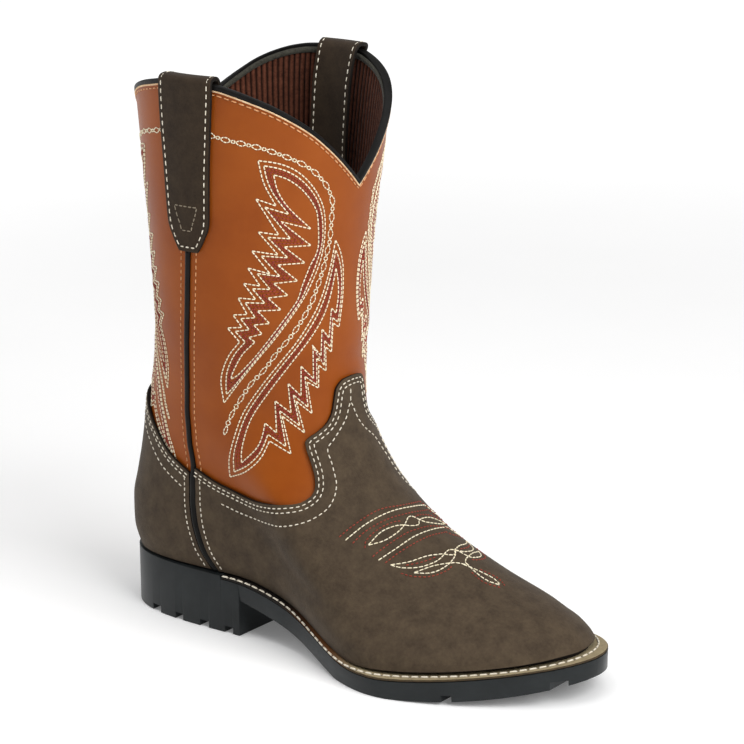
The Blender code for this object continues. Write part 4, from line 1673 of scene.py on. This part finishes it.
@dataclass
class PullStrap:
    """Two-ply pull strap, folded over the collar at a side seam."""

    last: Last
    name: str
    node: str
    middle: float
    thick: float = 1.6
    columns: int = 25
    rows: int = 150
    edge_round: float = 0.55
    edge_row: float = 1.9
    pitch: float = 3.3
    box_low: float = 179.5
    box_high: float = 191.0
    box_half_low: float = 2.4
    box_half_high: float = 5.6
    rise: float = 0.0
    rise_span: Span = (200.0, 238.0)
    lean: Span = (0.0, 0.0)
    lean_folds: tuple[float, float, float] = (4.0, 8.0, 14.0)
    narrow: float = 1.0
    small_step: float = 0.02
    row_low: float = 172.0
    row_end: float = 1.3
    row_steps: int = 400
    short_steps: int = 12
    box_pitch: float = 2.4
    fill: float = LOCK_FILL
    thread_lift: float = 0.05

    def near(self, share: Array, fold: Array) -> Array:
        """Place on the strap's near face, by its share across and its place along the folds.

        Args:
            share: Shares of the width from its middle.
            fold: Places along the folds.

        Returns:
            Places, with x, y and z last.
        """
        keys = np.arange(len(STRAP_FOLDS))
        height, lift, width = np.moveaxis(through_rows(keys, STRAP_FOLDS, fold), -1, 0)
        height = height + self.rise * np.interp(height, self.rise_span, (0.0, 1.0))
        middle = self.middle + np.interp(fold, self.lean_folds, (0.0, *self.lean))
        level = self.last.level_at(middle, height)
        angle = middle + share * width * self.narrow * self.last.turn_for(1.0, middle, level)
        return self.last.skin(angle, level, lift)

    def far(self, share: Array, fold: Array, lift: float) -> Line:
        """Places over the strap's outer face, and the directions away from it.

        Args:
            share: Shares of the width from its middle.
            fold: Places along the folds.
            lift: Distance over the face.

        Returns:
            Places and directions.
        """
        step = self.small_step
        across = self.near(share + step, fold) - self.near(share - step, fold)
        low = np.clip(fold - step, 0.0, len(STRAP_FOLDS) - 1.0 - 2.0 * step)
        away = unit(np.cross(across, self.near(share, low + 2.0 * step) - self.near(share, low)))
        return self.near(share, fold) + (self.thick + lift) * away, away

    def width(self, fold: Array) -> Array:
        """Width of the strap at a place along its folds."""
        widths = [row.width for row in STRAP_FOLDS]
        return self.narrow * through_rows(np.arange(len(widths)), widths, fold)

    def fold_at(self, height: float) -> float:
        """Place along the outer leg at a height."""
        top = max(range(len(STRAP_FOLDS)), key=lambda k: STRAP_FOLDS[k].height)
        return float(np.interp(height, [row.height for row in STRAP_FOLDS[: top + 1]], np.arange(top + 1)))

    def build(self) -> None:
        """Strap with a rounded, inked edge."""
        share, fold = np.meshgrid(
            np.linspace(-0.5, 0.5, self.columns),
            np.linspace(0.0, len(STRAP_FOLDS) - 1.0, self.rows),
            indexing="ij",
        )
        faces = grid_faces(self.columns, self.rows, False)
        piece = new_piece(self.name, self.near(share, fold), faces, (STRAP_NUBUCK, INKED_EDGE_AND_HEM_SHADE))
        ride(thicken(piece, self.thick, self.edge_round), "brown_nubuck", self.node)

    def sew(self, edge: Thread, box: Thread) -> None:
        """Row round the strap's edge, and a small box where it is sewn to the shaft.

        Args:
            edge: Thread of the row.
            box: Thread of the box.
        """
        foot = self.fold_at(self.row_low)
        fold = np.linspace(foot, len(STRAP_FOLDS) - self.row_end, self.row_steps)
        for side in (-1.0, 1.0):
            share = side * (0.5 - self.edge_row / self.width(fold))
            edge.sew(*self.far(share, fold, self.thread_lift), self.pitch, self.fill)
        reach = 0.5 - self.edge_row / float(self.width(np.array(foot)))
        share = np.linspace(-reach, reach, self.short_steps)
        fold = np.full(share.shape, foot)
        edge.sew(*self.far(share, fold, self.thread_lift), self.pitch, self.fill)
        corners = [
            (-self.box_half_high, self.box_high),
            (self.box_half_high, self.box_high),
            (self.box_half_low, self.box_low),
            (-self.box_half_low, self.box_low),
            (-self.box_half_high, self.box_high),
        ]
        for (x0, z0), (x1, z1) in zip(corners, corners[1:]):
            fold = np.array([self.fold_at(z) for z in np.linspace(z0, z1, self.short_steps)])
            share = np.linspace(x0, x1, self.short_steps) / self.width(fold)
            box.sew(*self.far(share, fold, self.thread_lift), self.box_pitch)


class Groove(NamedTuple):
    """Groove across the tread: place, width and both ends, from the back of the heel."""

    x: float
    width: float
    lateral_y: float
    medial_y: float


PAST_EDGE = 70.0
GROOVES = rows(
    Groove,
    (27.5, 5.5, -PAST_EDGE, PAST_EDGE), (42.0, 4.5, -PAST_EDGE, PAST_EDGE),
    (56.5, 5.0, -PAST_EDGE, PAST_EDGE), (70.0, 4.5, -PAST_EDGE, PAST_EDGE), (148.0, 4.0, -36.0, 28.0),
    (159.0, 4.0, -40.0, 30.0), (170.0, 4.0, -40.0, 30.0), (181.0, 4.0, -36.0, 28.0),
    (191.0, 4.0, -PAST_EDGE, PAST_EDGE), (202.0, 4.0, -26.0, 22.0), (213.0, 4.0, -20.0, 18.0),
    (228.0, 5.0, -PAST_EDGE, PAST_EDGE),
)


@dataclass
class Sole:
    """Moulded rubber sole with its heel, the welt above it and the insole's finish."""

    last: Last
    gap: float = 0.3
    stations: int = 200
    draft: float = 0.8
    breast_x: float = 76.0
    breast_slope: float = 0.4
    arch: tuple[Span, ...] = (
        (76.0, 16.0), (93.0, 12.0), (109.0, 7.5), (125.0, 3.0), (138.0, 0.0),
    )
    flat_end_x: float = 165.0
    toe_rise: float = 10.0
    groove_depth: float = 2.8
    groove_below: float = 3.0
    edge_round: float = 0.5
    welt: float = 1.3
    welt_seat: float = 0.55
    welt_start_x: float = 66.0
    welt_columns: int = 260
    welt_shoulder: tuple[Span, ...] = ((0.9, 0.0), (0.97, 0.15), (1.0, 0.5))
    welt_foot: tuple[Span, ...] = ((1.0, 0.3), (0.98, 0.0))
    welt_sharp: float = 60.0
    rubber_sharp: float = 40.0
    rubber_merge: Span = (0.01, 0.005)
    edge_segments: int = 2
    stitch_out: float = 4.6
    stitch_lift: float = 0.25
    stitch_pitch: float = 4.0
    stitch_fill: float = 0.96
    edge_slope: float = 0.75

    def underside(self, x: Array) -> Array:
        """Height of the tread before its grooves.

        Args:
            x: Distances from the back of the heel.

        Returns:
            Heights over the floor.
        """
        arch = through_rows(*np.transpose(self.arch), x)
        toe = np.clip((x - self.flat_end_x) / (SOLE_OUTLINE.front_x - self.flat_end_x), 0.0, 1.0)
        return np.where(x <= self.breast_x, 0.0, arch) + self.toe_rise * toe**2

    def upper_side(self, x: Array) -> Array:
        """Height of the sole's upper face: the heel seat, then a step down for the welt."""
        under = self.last.row_height(x, SECTIONS[0]) - self.gap
        return np.where(x <= self.welt_start_x, under, under - self.welt - self.gap)

    def outline_angle(self, x: Array) -> Array:
        """Angle at which the outline passes a distance from the back of the heel."""
        along = (x - SOLE_OUTLINE.back_x) / (SOLE_OUTLINE.front_x - SOLE_OUTLINE.back_x)
        return np.arccos(1.0 - 2.0 * along)

    def build_rubber(self) -> None:
        """Heel, arch, tread and toe spring in one, with grooves cut across them."""
        steps = [self.breast_x, self.breast_x + self.breast_slope]
        steps += [self.welt_start_x, self.welt_start_x + self.breast_slope]
        even = np.linspace(0.0, math.pi, self.stations)
        angle = np.unique(np.concatenate([even, self.outline_angle(np.array(steps))]))
        x, lateral = self.last.plan(angle, SOLE_OUTLINE)
        _, medial = self.last.plan(FULL_TURN - angle, SOLE_OUTLINE)
        inset = self.draft * np.sin(angle)
        along = x + self.last.shift_x
        corners = (
            (lateral, self.upper_side(x)),
            (medial, self.upper_side(x)),
            (np.maximum(medial - inset, (medial + lateral) / 2.0), self.underside(x)),
            (np.minimum(lateral + inset, (medial + lateral) / 2.0), self.underside(x)),
        )
        stations = np.stack([np.stack([along, y, z], axis=-1) for y, z in corners], axis=1)
        before, after = self.rubber_merge
        sole = settle(sweep("sole_rubber", stations, False, (BLACK_RUBBER,)), merge=before)
        cutter = self.groove_cutter()
        cut = sole.modifiers.new("tread", "BOOLEAN")
        cut.operation = "DIFFERENCE"
        cut.object = cutter
        round_edges(sole, self.edge_round, self.edge_segments, self.rubber_sharp)
        shade = sole.modifiers.new("even_shade", "WEIGHTED_NORMAL")
        shade.keep_sharp = True
        settle(sole, merge=after, sharp=self.rubber_sharp)
        bpy.data.objects.remove(cutter)
        ride(sole, "black_rubber", "outsole")

    def groove_cutter(self) -> Object:
        """Blocks that cut the tread's grooves.

        Returns:
            The blocks as one object, which isn't rendered.
        """
        bm = bmesh.new()
        for groove in GROOVES:
            block = bmesh.ops.create_cube(bm, size=1.0)["verts"]
            roof = float(self.underside(np.array(groove.x))) + self.groove_depth
            size = Vector((groove.width, groove.medial_y - groove.lateral_y, roof + self.groove_below))
            middle_y = (groove.medial_y + groove.lateral_y) / 2.0
            centre = Vector((groove.x + self.last.shift_x, middle_y, (roof - self.groove_below) / 2.0))
            bmesh.ops.scale(bm, vec=size * MM, verts=block)
            bmesh.ops.translate(bm, vec=centre * MM, verts=block)
        mesh = bpy.data.meshes.new("tread_grooves")
        bm.to_mesh(mesh)
        bm.free()
        cutter = bpy.data.objects.new("tread_grooves", mesh)
        bpy.context.scene.collection.objects.link(cutter)
        cutter.hide_render = True
        return cutter

    def welt_angles(self) -> Array:
        """Angles along the welt, from one side of the heel round the toe to the other."""
        start = float(self.outline_angle(self.welt_start_x + self.breast_slope + self.gap))
        return np.linspace(start, FULL_TURN - start, self.welt_columns)

    def build_welt(self) -> None:
        """Leather strip on the sole's rim with a softened edge."""
        angle = self.welt_angles()
        rim_x, rim_y = self.last.plan(angle, SOLE_OUTLINE)
        rim = np.stack([rim_x + self.last.shift_x, rim_y], axis=-1)
        root = self.last.skin(angle, np.zeros(angle.shape), -self.last.wall)[:, :2]
        low, top = -self.gap - self.welt, -self.welt_seat
        profile = [(0.0, low), (0.0, top)]
        profile += [(share, top - drop) for share, drop in self.welt_shoulder]
        profile += [(share, low + rise) for share, rise in self.welt_foot]
        stations = []
        for share, drop in profile:
            flat = root + share * (rim - root)
            stations.append(np.column_stack([flat, self.last.seat(flat[:, 0]) + drop]))
        piece = sweep("welt_strip", np.stack(stations, axis=1), False, (WELT_LEATHER, WELT_EDGE))
        for face in piece.data.polygons:
            face.material_index = 0 if face.normal.z > self.edge_slope else 1
        piece.data.set_sharp_from_angle(angle=math.radians(self.welt_sharp))
        ride(piece, "welt_leather", "welt")

    def sew_welt(self, thread: Thread) -> None:
        """Lock stitches on the welt, close to the upper.

        Args:
            thread: Thread of the row.
        """
        angle = self.welt_angles()
        flat = self.last.skin(angle, np.zeros(angle.shape), self.stitch_out)
        flat[:, 2] = self.last.seat(flat[:, 0]) - self.welt_seat + self.stitch_lift
        up = np.broadcast_to(np.array((0.0, 0.0, 1.0)), flat.shape)
        thread.sew(flat, up, self.stitch_pitch, self.stitch_fill)

    def dress_insole(self, node: Object) -> None:
        """Give the insole its finish."""
        node.data.materials.clear()
        node.data.materials.append(INSOLE_SKIN.material())


class Band(NamedTuple):
    """Part of a feather between its outer and inner outlines, in the photograph's pixels."""

    outer: tuple[Pixel, ...]
    inner: tuple[Pixel, ...]
    rounded: bool


UPPER_FEATHER = (
    Band(
        (
            (258, 160.7), (280, 164), (298, 172), (312.5, 186), (322, 203), (325, 218), (324.6, 238),
            (320.5, 260.5), (312.5, 281), (301, 303), (276.5, 337), (255, 362.5), (238, 384), (224, 403),
        ),
        (
            (273.5, 175), (287, 179), (303, 190.5), (315, 207), (318, 220), (318, 249), (310, 266),
            (301, 289), (296, 303), (261, 350), (238, 375), (231, 379),
        ),
        True,
    ),
    Band(((258, 160.7), (264, 184), (276, 206)), ((273.5, 175), (278, 192), (289.5, 209), (311, 229)), True),
    Band(
        (
            (276, 206), (255.7, 199), (278.6, 235), (258, 232), (278, 255), (251.7, 251), (270, 274),
            (247.6, 268), (260, 286), (243.4, 283.5), (255.7, 299.6), (238, 298), (247, 314.5), (233, 315),
            (242, 327.4), (227.4, 328), (239.5, 342),
        ),
        (
            (311, 229), (280, 221.5), (311, 245.6), (284, 247), (305, 263), (277.5, 265), (297.6, 281),
            (273.5, 283.5), (288, 295.6), (267.7, 298), (281, 310), (257.4, 311), (269.5, 323.6),
            (253.6, 325), (262, 334), (248.5, 337.6), (255, 342),
        ),
        False,
    ),
    Band(
        ((239.5, 342), (228, 357), (221, 379), (224, 403)),
        ((255, 342), (242, 355), (232.5, 373), (231, 379)),
        True,
    ),
)
LOWER_FEATHER = (
    Band(
        (
            (230, 477), (229, 459), (234, 438), (243, 413.5), (260, 388), (279, 364), (297, 342), (312, 318),
            (320.5, 300), (327, 280), (331, 264), (334, 248), (335.5, 240),
        ),
        (
            (241.5, 463), (242, 447), (251, 419), (269, 392), (289, 366), (307, 343), (320, 323), (328, 304),
            (333, 284), (336, 268),
        ),
        True,
    ),
    Band(
        ((335.5, 240), (340, 250), (343, 266), (343, 289), (342, 303), (339, 327)),
        ((336, 268), (338, 280), (338.5, 292), (337.5, 303), (336, 313)),
        True,
    ),
    Band(
        (
            (339, 327), (333, 323), (331.4, 352), (325.6, 347), (326, 371), (318.6, 365), (318.6, 388),
            (307, 382), (312, 413.5), (296, 401), (304.6, 433), (282, 416), (291, 454), (269.5, 441),
        ),
        (
            (336, 313), (331.5, 308), (329, 338), (322, 329), (321, 356), (313, 346), (313.5, 379),
            (301, 366), (301, 396), (288, 383.5), (291, 413), (275, 401), (276.5, 433), (265, 423),
        ),
        False,
    ),
    Band(
        ((269.5, 441), (260, 459), (245, 472), (230, 477)),
        ((265, 423), (262, 437), (256, 449), (241.5, 463)),
        True,
    ),
)
BEAD_ROW = (
    (205, 134.5), (213.6, 136.6), (229, 141), (245, 144.5), (263, 149), (285, 156.6), (303, 164.5),
    (316.6, 174), (327.5, 187.5), (332.6, 202), (332, 213.5), (331, 227), (329.7, 241), (327, 252.5),
    (324, 266), (318, 285), (311, 304), (301, 322), (289, 339), (276, 354), (265, 369), (251, 384),
    (239.5, 401), (230.6, 417), (224, 435),
)


@dataclass
class WingStitching:
    """Feathered wings sewn on the four quarters of the shaft."""

    trace: PhotoTrace
    cream: Thread
    red: Thread
    bead: Thread
    cream_shares: tuple[float, ...] = (0.0, 0.36, 1.0)
    red_shares: tuple[float, ...] = (0.57, 0.78)
    cream_pitch: float = 1.9
    red_pitch: float = 1.5
    long_bead_px: Span = (10.7, 12.5)
    long_half_px: Span = (2.9, 1.9)
    short_bead_px: Span = (5.0, 5.8)
    short_half_px: Span = (1.8, 2.6)
    bead_pitch: float = 1.5
    bead_fill: float = 1.0
    bead_steps: int = 7
    row_steps: int = 40
    tooth_steps: int = 5
    thread_lift: float = 0.1

    def between(self, band: Band, share: float) -> Array:
        """Pixels of a row between a band's two outlines.

        Args:
            band: Part of a feather.
            share: Share of the way from the outer outline to the inner one.

        Returns:
            Pixels, one row each.
        """
        outer, inner = (np.array(side, float) for side in band[:2])
        if band.rounded:
            outer, inner = (
                along_line(line, np.linspace(0.0, run_lengths(line)[-1], self.row_steps))
                for line in (smooth_line(outer), smooth_line(inner))
            )
        return outer + share * (inner - outer)

    def quarters(self, angle: Array, level: Array) -> tuple[Array, ...]:
        """The same line on each quarter of the shaft, narrowed behind the seam to fit.

        Args:
            angle: Angles of the line on the near front quarter.
            level: Levels of the line.

        Returns:
            Angles of the line on each quarter.
        """
        seam = self.trace.last.seam(level)
        behind = seam * (math.pi - angle) / (math.pi - seam)
        return angle, FULL_TURN - angle, behind, FULL_TURN - behind

    def sew_line(self, thread: Thread, pixels: Array, pitch: float, fill: float = 0.96) -> None:
        """Sew a row on every quarter.

        Args:
            thread: Thread of the row.
            pixels: Pixels of the row in the photograph.
            pitch: Length from one stitch to the next.
            fill: Share of the pitch that shows as thread.
        """
        angle, level = self.trace.find(pixels)
        last = self.trace.last
        for turned in self.quarters(angle, level):
            places = last.skin(turned, level, self.thread_lift)
            thread.sew(places, last.normal(turned, level), pitch, fill)

    def sew_feather(self, feather: tuple[Band, ...]) -> None:
        """Cream and red rows of a feather.

        Args:
            feather: Parts of the feather.
        """
        rows = [(self.cream, share, self.cream_pitch) for share in self.cream_shares]
        rows += [(self.red, share, self.red_pitch) for share in self.red_shares]
        for thread, share, pitch in rows:
            for band in feather:
                pixels = self.between(band, share)
                if band.rounded:
                    self.sew_line(thread, pixels, pitch)
                    continue
                for start, end in zip(pixels, pixels[1:]):
                    line = start + np.linspace(0.0, 1.0, self.tooth_steps)[:, None] * (end - start)
                    self.sew_line(thread, line, pitch)

    def sew_beads(self) -> None:
        """Two strands that cross to make a chain of long and short beads."""
        line = smooth_line(BEAD_ROW)
        whole = run_lengths(line)[-1]
        place, long_bead = 0.0, True
        while place < whole:
            sizes, halves = self.short_bead_px, self.short_half_px
            if long_bead:
                sizes, halves = self.long_bead_px, self.long_half_px
            size, half = (np.interp(place, (0.0, whole), ends) for ends in (sizes, halves))
            at = np.linspace(place, min(place + size, whole), self.bead_steps)
            middle = along_line(line, at)
            way = unit(np.gradient(middle, axis=0))
            side = np.stack([-way[:, 1], way[:, 0]], axis=-1)
            swell = half * np.sin(np.linspace(0.0, math.pi, self.bead_steps))[:, None]
            for sign in (-1.0, 1.0):
                self.sew_line(self.bead, middle + sign * swell * side, self.bead_pitch, self.bead_fill)
            place, long_bead = place + size, not long_bead

    def sew(self) -> None:
        """Both feathers and the bead row."""
        self.sew_feather(UPPER_FEATHER)
        self.sew_feather(LOWER_FEATHER)
        self.sew_beads()


CREAM_TOE_ROWS = (
    ((345, 540.6), (366, 524), (390.6, 511.5), (415, 506), (425, 505.2)),
    ((368, 545.4), (381, 532), (395, 526), (404, 525)),
    ((368, 545.4), (384.5, 540.6), (398, 532), (405, 524), (409, 516), (416, 518)),
    ((404, 525), (412, 526), (419, 525)),
    ((378, 560.6), (397, 548), (415, 536), (434, 529), (449, 527)),
    ((390, 565), (409, 562), (427, 556), (443, 554)),
    ((390, 565), (403, 568), (421, 567), (437, 561), (444.5, 554), (448, 550), (455, 550)),
    ((443, 554), (449, 555), (456, 555)),
    ((413.6, 573), (433, 566), (451, 563), (458, 563), (466, 565)),
    ((413.6, 573), (431, 573), (445, 567), (454, 558), (456, 550)),
    ((466, 563), (475, 572), (487.5, 581), (499.6, 585)),
)
RED_TOE_ROWS = (
    ((338.5, 537.6), (354, 525), (378.5, 510), (403, 505), (420, 501.5)),
    ((352, 544), (366, 531), (388, 519), (409, 513), (428, 510)),
    ((365, 549), (366, 541), (377, 530), (392, 522.5), (401, 521)),
    ((371.8, 557.5), (382, 549), (396.6, 539), (408.8, 532), (421, 528)),
    ((384.5, 563.6), (403, 550), (427, 537), (446, 532)),
    ((405, 565.5), (421, 562.5), (436, 557)),
    ((400, 573), (413, 576.5), (431, 576.5), (447, 570.5), (452, 566)),
    ((471, 572), (484, 582.5), (501, 588)),
)


@dataclass
class ToeStitching:
    """Rows and leaves sewn over the toe, the same on both sides of its middle."""

    trace: PhotoTrace
    cream: Thread
    red: Thread
    cream_pitch: float = 2.3
    red_pitch: float = 1.9
    cream_fill: float = 1.0
    red_fill: float = 0.75
    thread_lift: float = 0.08
    middle_levels: Span = (3.1, 3.7)
    middle_degrees: Span = (177.8, 175.0)
    meeting: float = math.radians(4.0)
    bridge: float = math.radians(2.5)
    grazing: float = 0.12

    def middle(self, level: Array) -> Array:
        """Angle of the pattern's middle line, which leans to the near side up the toe."""
        return np.radians(np.interp(level, self.middle_levels, self.middle_degrees))

    def sew(self) -> None:
        """Sew each row as far as it shows and then its mirror image, in one where they meet."""
        spools = (
            (CREAM_TOE_ROWS, self.cream, self.cream_pitch, self.cream_fill),
            (RED_TOE_ROWS, self.red, self.red_pitch, self.red_fill),
        )
        last, lift = self.trace.last, self.trace.lift + self.thread_lift
        for rows, thread, pitch, fill in spools:
            for row in rows:
                angle, level = self.trace.find(smooth_line(row))
                hidden = np.flatnonzero(self.trace.facing(angle, level) < self.grazing)
                end = int(hidden[0]) if hidden.size else angle.size
                angle, level = angle[:end], level[:end]
                twin = 2.0 * self.middle(level) - angle
                lines = [(angle, level), (twin, level)]
                if level[-1] > self.middle_levels[1] and angle[-1] > self.middle(level[-1]) - self.meeting:
                    half = np.column_stack([angle, level])
                    rest = np.column_stack([twin, level])[::-1]
                    rest = rest[rest[:, 0] > angle[-1] + self.bridge]
                    lines = [smooth_line([*half, *rest]).T]
                for line in lines:
                    thread.sew(last.skin(*line, lift), last.normal(*line), pitch, fill)


@dataclass(frozen=True)
class Lamp:
    """Soft box: its place round the boot, size and power."""

    name: str
    azimuth: float
    elevation: float
    distance: float
    size: float
    power: float


@dataclass
class Studio:
    """Pale floor lit from below towards its far edge, even daylight and three soft boxes."""

    sky: float = 0.36
    near_glow: float = 0.12
    far_glow: float = 0.6
    glow_span: Span = (0.45, 1.6)
    floor_half: float = 12.0
    floor_drop: float = 0.2
    aim: tuple[float, float, float] = (0.0, 0.0, 0.11)
    white: tuple[float, float, float, float] = (1.0, 1.0, 1.0, 1.0)
    lamps: tuple[Lamp, ...] = (
        Lamp("key_box", 78.0, 38.0, 1.5, 1.0, 18.0),
        Lamp("fill_box", -72.0, 30.0, 1.6, 1.1, 4.5),
        Lamp("top_box", 20.0, 82.0, 1.5, 1.2, 8.5),
    )

    def build(self) -> None:
        """Add the floor, the sky and the lamps."""
        scene = bpy.context.scene
        scene.view_settings.view_transform = "Standard"
        half, low = self.floor_half / MM, -self.floor_drop
        corners = [(-half, -half, low), (half, -half, low), (half, half, low), (-half, half, low)]
        floor = new_piece("studio_floor", np.array(corners), [(0, 1, 2, 3)], (PALE_FLOOR,))
        tree = floor.data.materials[0].node_tree
        glow = tree.nodes["Principled BSDF"].inputs
        glow["Emission Color"].default_value = self.white
        place = add_node(tree, "ShaderNodeTexCoord").outputs["Object"]
        away = add_node(tree, "ShaderNodeVectorMath", {"operation": "LENGTH"}, {0: place}).outputs["Value"]
        reach = {
            "Value": away,
            "From Min": self.glow_span[0],
            "From Max": self.glow_span[1],
            "To Min": self.near_glow,
            "To Max": self.far_glow,
        }
        rise = add_node(tree, "ShaderNodeMapRange", {"interpolation_type": "SMOOTHSTEP"}, reach)
        tree.links.new(rise.outputs["Result"], glow["Emission Strength"])
        world = bpy.data.worlds.new("studio_daylight")
        world.use_nodes = True
        sky = world.node_tree.nodes["Background"]
        sky.inputs["Color"].default_value = self.white
        sky.inputs["Strength"].default_value = self.sky
        scene.world = world
        for lamp in self.lamps:
            self.hang(lamp)

    def hang(self, lamp: Lamp) -> None:
        """Hang a soft box so that it faces the boot.

        Args:
            lamp: The soft box.
        """
        data = bpy.data.lights.new(lamp.name, "AREA")
        data.shape = "SQUARE"
        data.size = lamp.size
        data.energy = lamp.power
        light = bpy.data.objects.new(lamp.name, data)
        bpy.context.scene.collection.objects.link(light)
        a, e = math.radians(lamp.azimuth), math.radians(lamp.elevation)
        back = Vector((math.sin(a) * math.cos(e), -math.cos(a) * math.cos(e), math.sin(e)))
        light.location = Vector(self.aim) + back * lamp.distance
        light.rotation_mode = "QUATERNION"
        light.rotation_quaternion = back.to_track_quat("Z", "Y")


def main() -> None:
    """Build the boot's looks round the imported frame."""
    logging.basicConfig(level=logging.INFO, format="%(message)s")
    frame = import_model()
    last = Last(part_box("outsole")[0].x / MM - SOLE_OUTLINE.back_x)
    view = PhotoView()
    view.place_camera()
    Studio().build()

    shaft = Shaft(last)
    shaft.build_leather()
    shaft.build_lining()
    shaft.build_collar()
    vamp = Panel(
        "vamp_leather",
        "vamp",
        last,
        VAMP_EDGE,
        math.pi,
        columns=170,
        rows=84,
        peak=TONGUE_PEAK,
        hem_bulge=1.7,
        medial_in=math.radians(9.0),
    )
    counter = Panel("counter_leather", "heel_counter", last, COUNTER_EDGE, 0.0, columns=80, rows=50)
    seams = [
        SideSeam(last, "piping_lateral", "side_piping_lateral", False),
        SideSeam(last, "piping_medial", "side_piping_medial", True),
    ]
    straps = [
        PullStrap(last, "strap_lateral", "pull_strap_lateral", math.pi / 2.0),
        PullStrap(
            last,
            "strap_medial",
            "pull_strap_medial",
            3.0 * math.pi / 2.0,
            rise=last.medial_rise,
            lean=(math.radians(-3.5), math.radians(-6.0)),
            narrow=0.9,
        ),
    ]
    for maker in (vamp, counter, *seams, *straps):
        maker.build()
    sole = Sole(last)
    sole.build_rubber()
    sole.build_welt()
    sole.dress_insole(frame["nodes"]["insole"])

    panel_thread = Thread("panel_stitches", WHITE_THREAD, 0.26)
    collar_thread = Thread("collar_stitches", TAN_THREAD, 0.28)
    strap_thread = Thread("strap_stitches", WHITE_THREAD, 0.27)
    box_thread = Thread("strap_box_stitches", DUN_THREAD, 0.25)
    welt_thread = Thread("welt_stitches", WHITE_THREAD, 0.4)
    wing_cream = Thread("wing_stitches_cream", CREAM_THREAD, 0.28)
    wing_red = Thread("wing_stitches_red", RED_THREAD, 0.32, "red_thread")
    wing_bead = Thread("wing_stitches_bead", CREAM_THREAD, 0.24)
    toe_cream = Thread("toe_stitches_cream", CREAM_THREAD, 0.27)
    toe_red = Thread("toe_stitches_red", RED_THREAD, 0.27, "red_thread")
    shaft.sew_collar(collar_thread)
    for panel in (vamp, counter):
        panel.sew_edge(panel_thread)
    for seam in seams:
        seam.sew(panel_thread, collar_thread, vamp.face())
    for strap in straps:
        strap.sew(strap_thread, box_thread)
    sole.sew_welt(welt_thread)
    shaft_turn = (math.radians(70.0), math.radians(200.0))
    wing_trace = PhotoTrace(view, last, lift=0.12, angles=shaft_turn, levels=(3.6, 12.0))
    WingStitching(wing_trace, wing_cream, wing_red, wing_bead).sew()
    toe_turn = (math.radians(95.0), math.radians(215.0))
    toe_trace = PhotoTrace(view, last, lift=vamp.face(), angles=toe_turn, levels=(0.2, 6.5))
    ToeStitching(toe_trace, toe_cream, toe_red).sew()
    needle = Needle()
    threads = (panel_thread, collar_thread, strap_thread, box_thread, welt_thread)
    for thread in (*threads, wing_cream, wing_red, wing_bead, toe_cream, toe_red):
        thread.build(needle)
    needle.put_away()


if __name__ == "__main__":
    main()
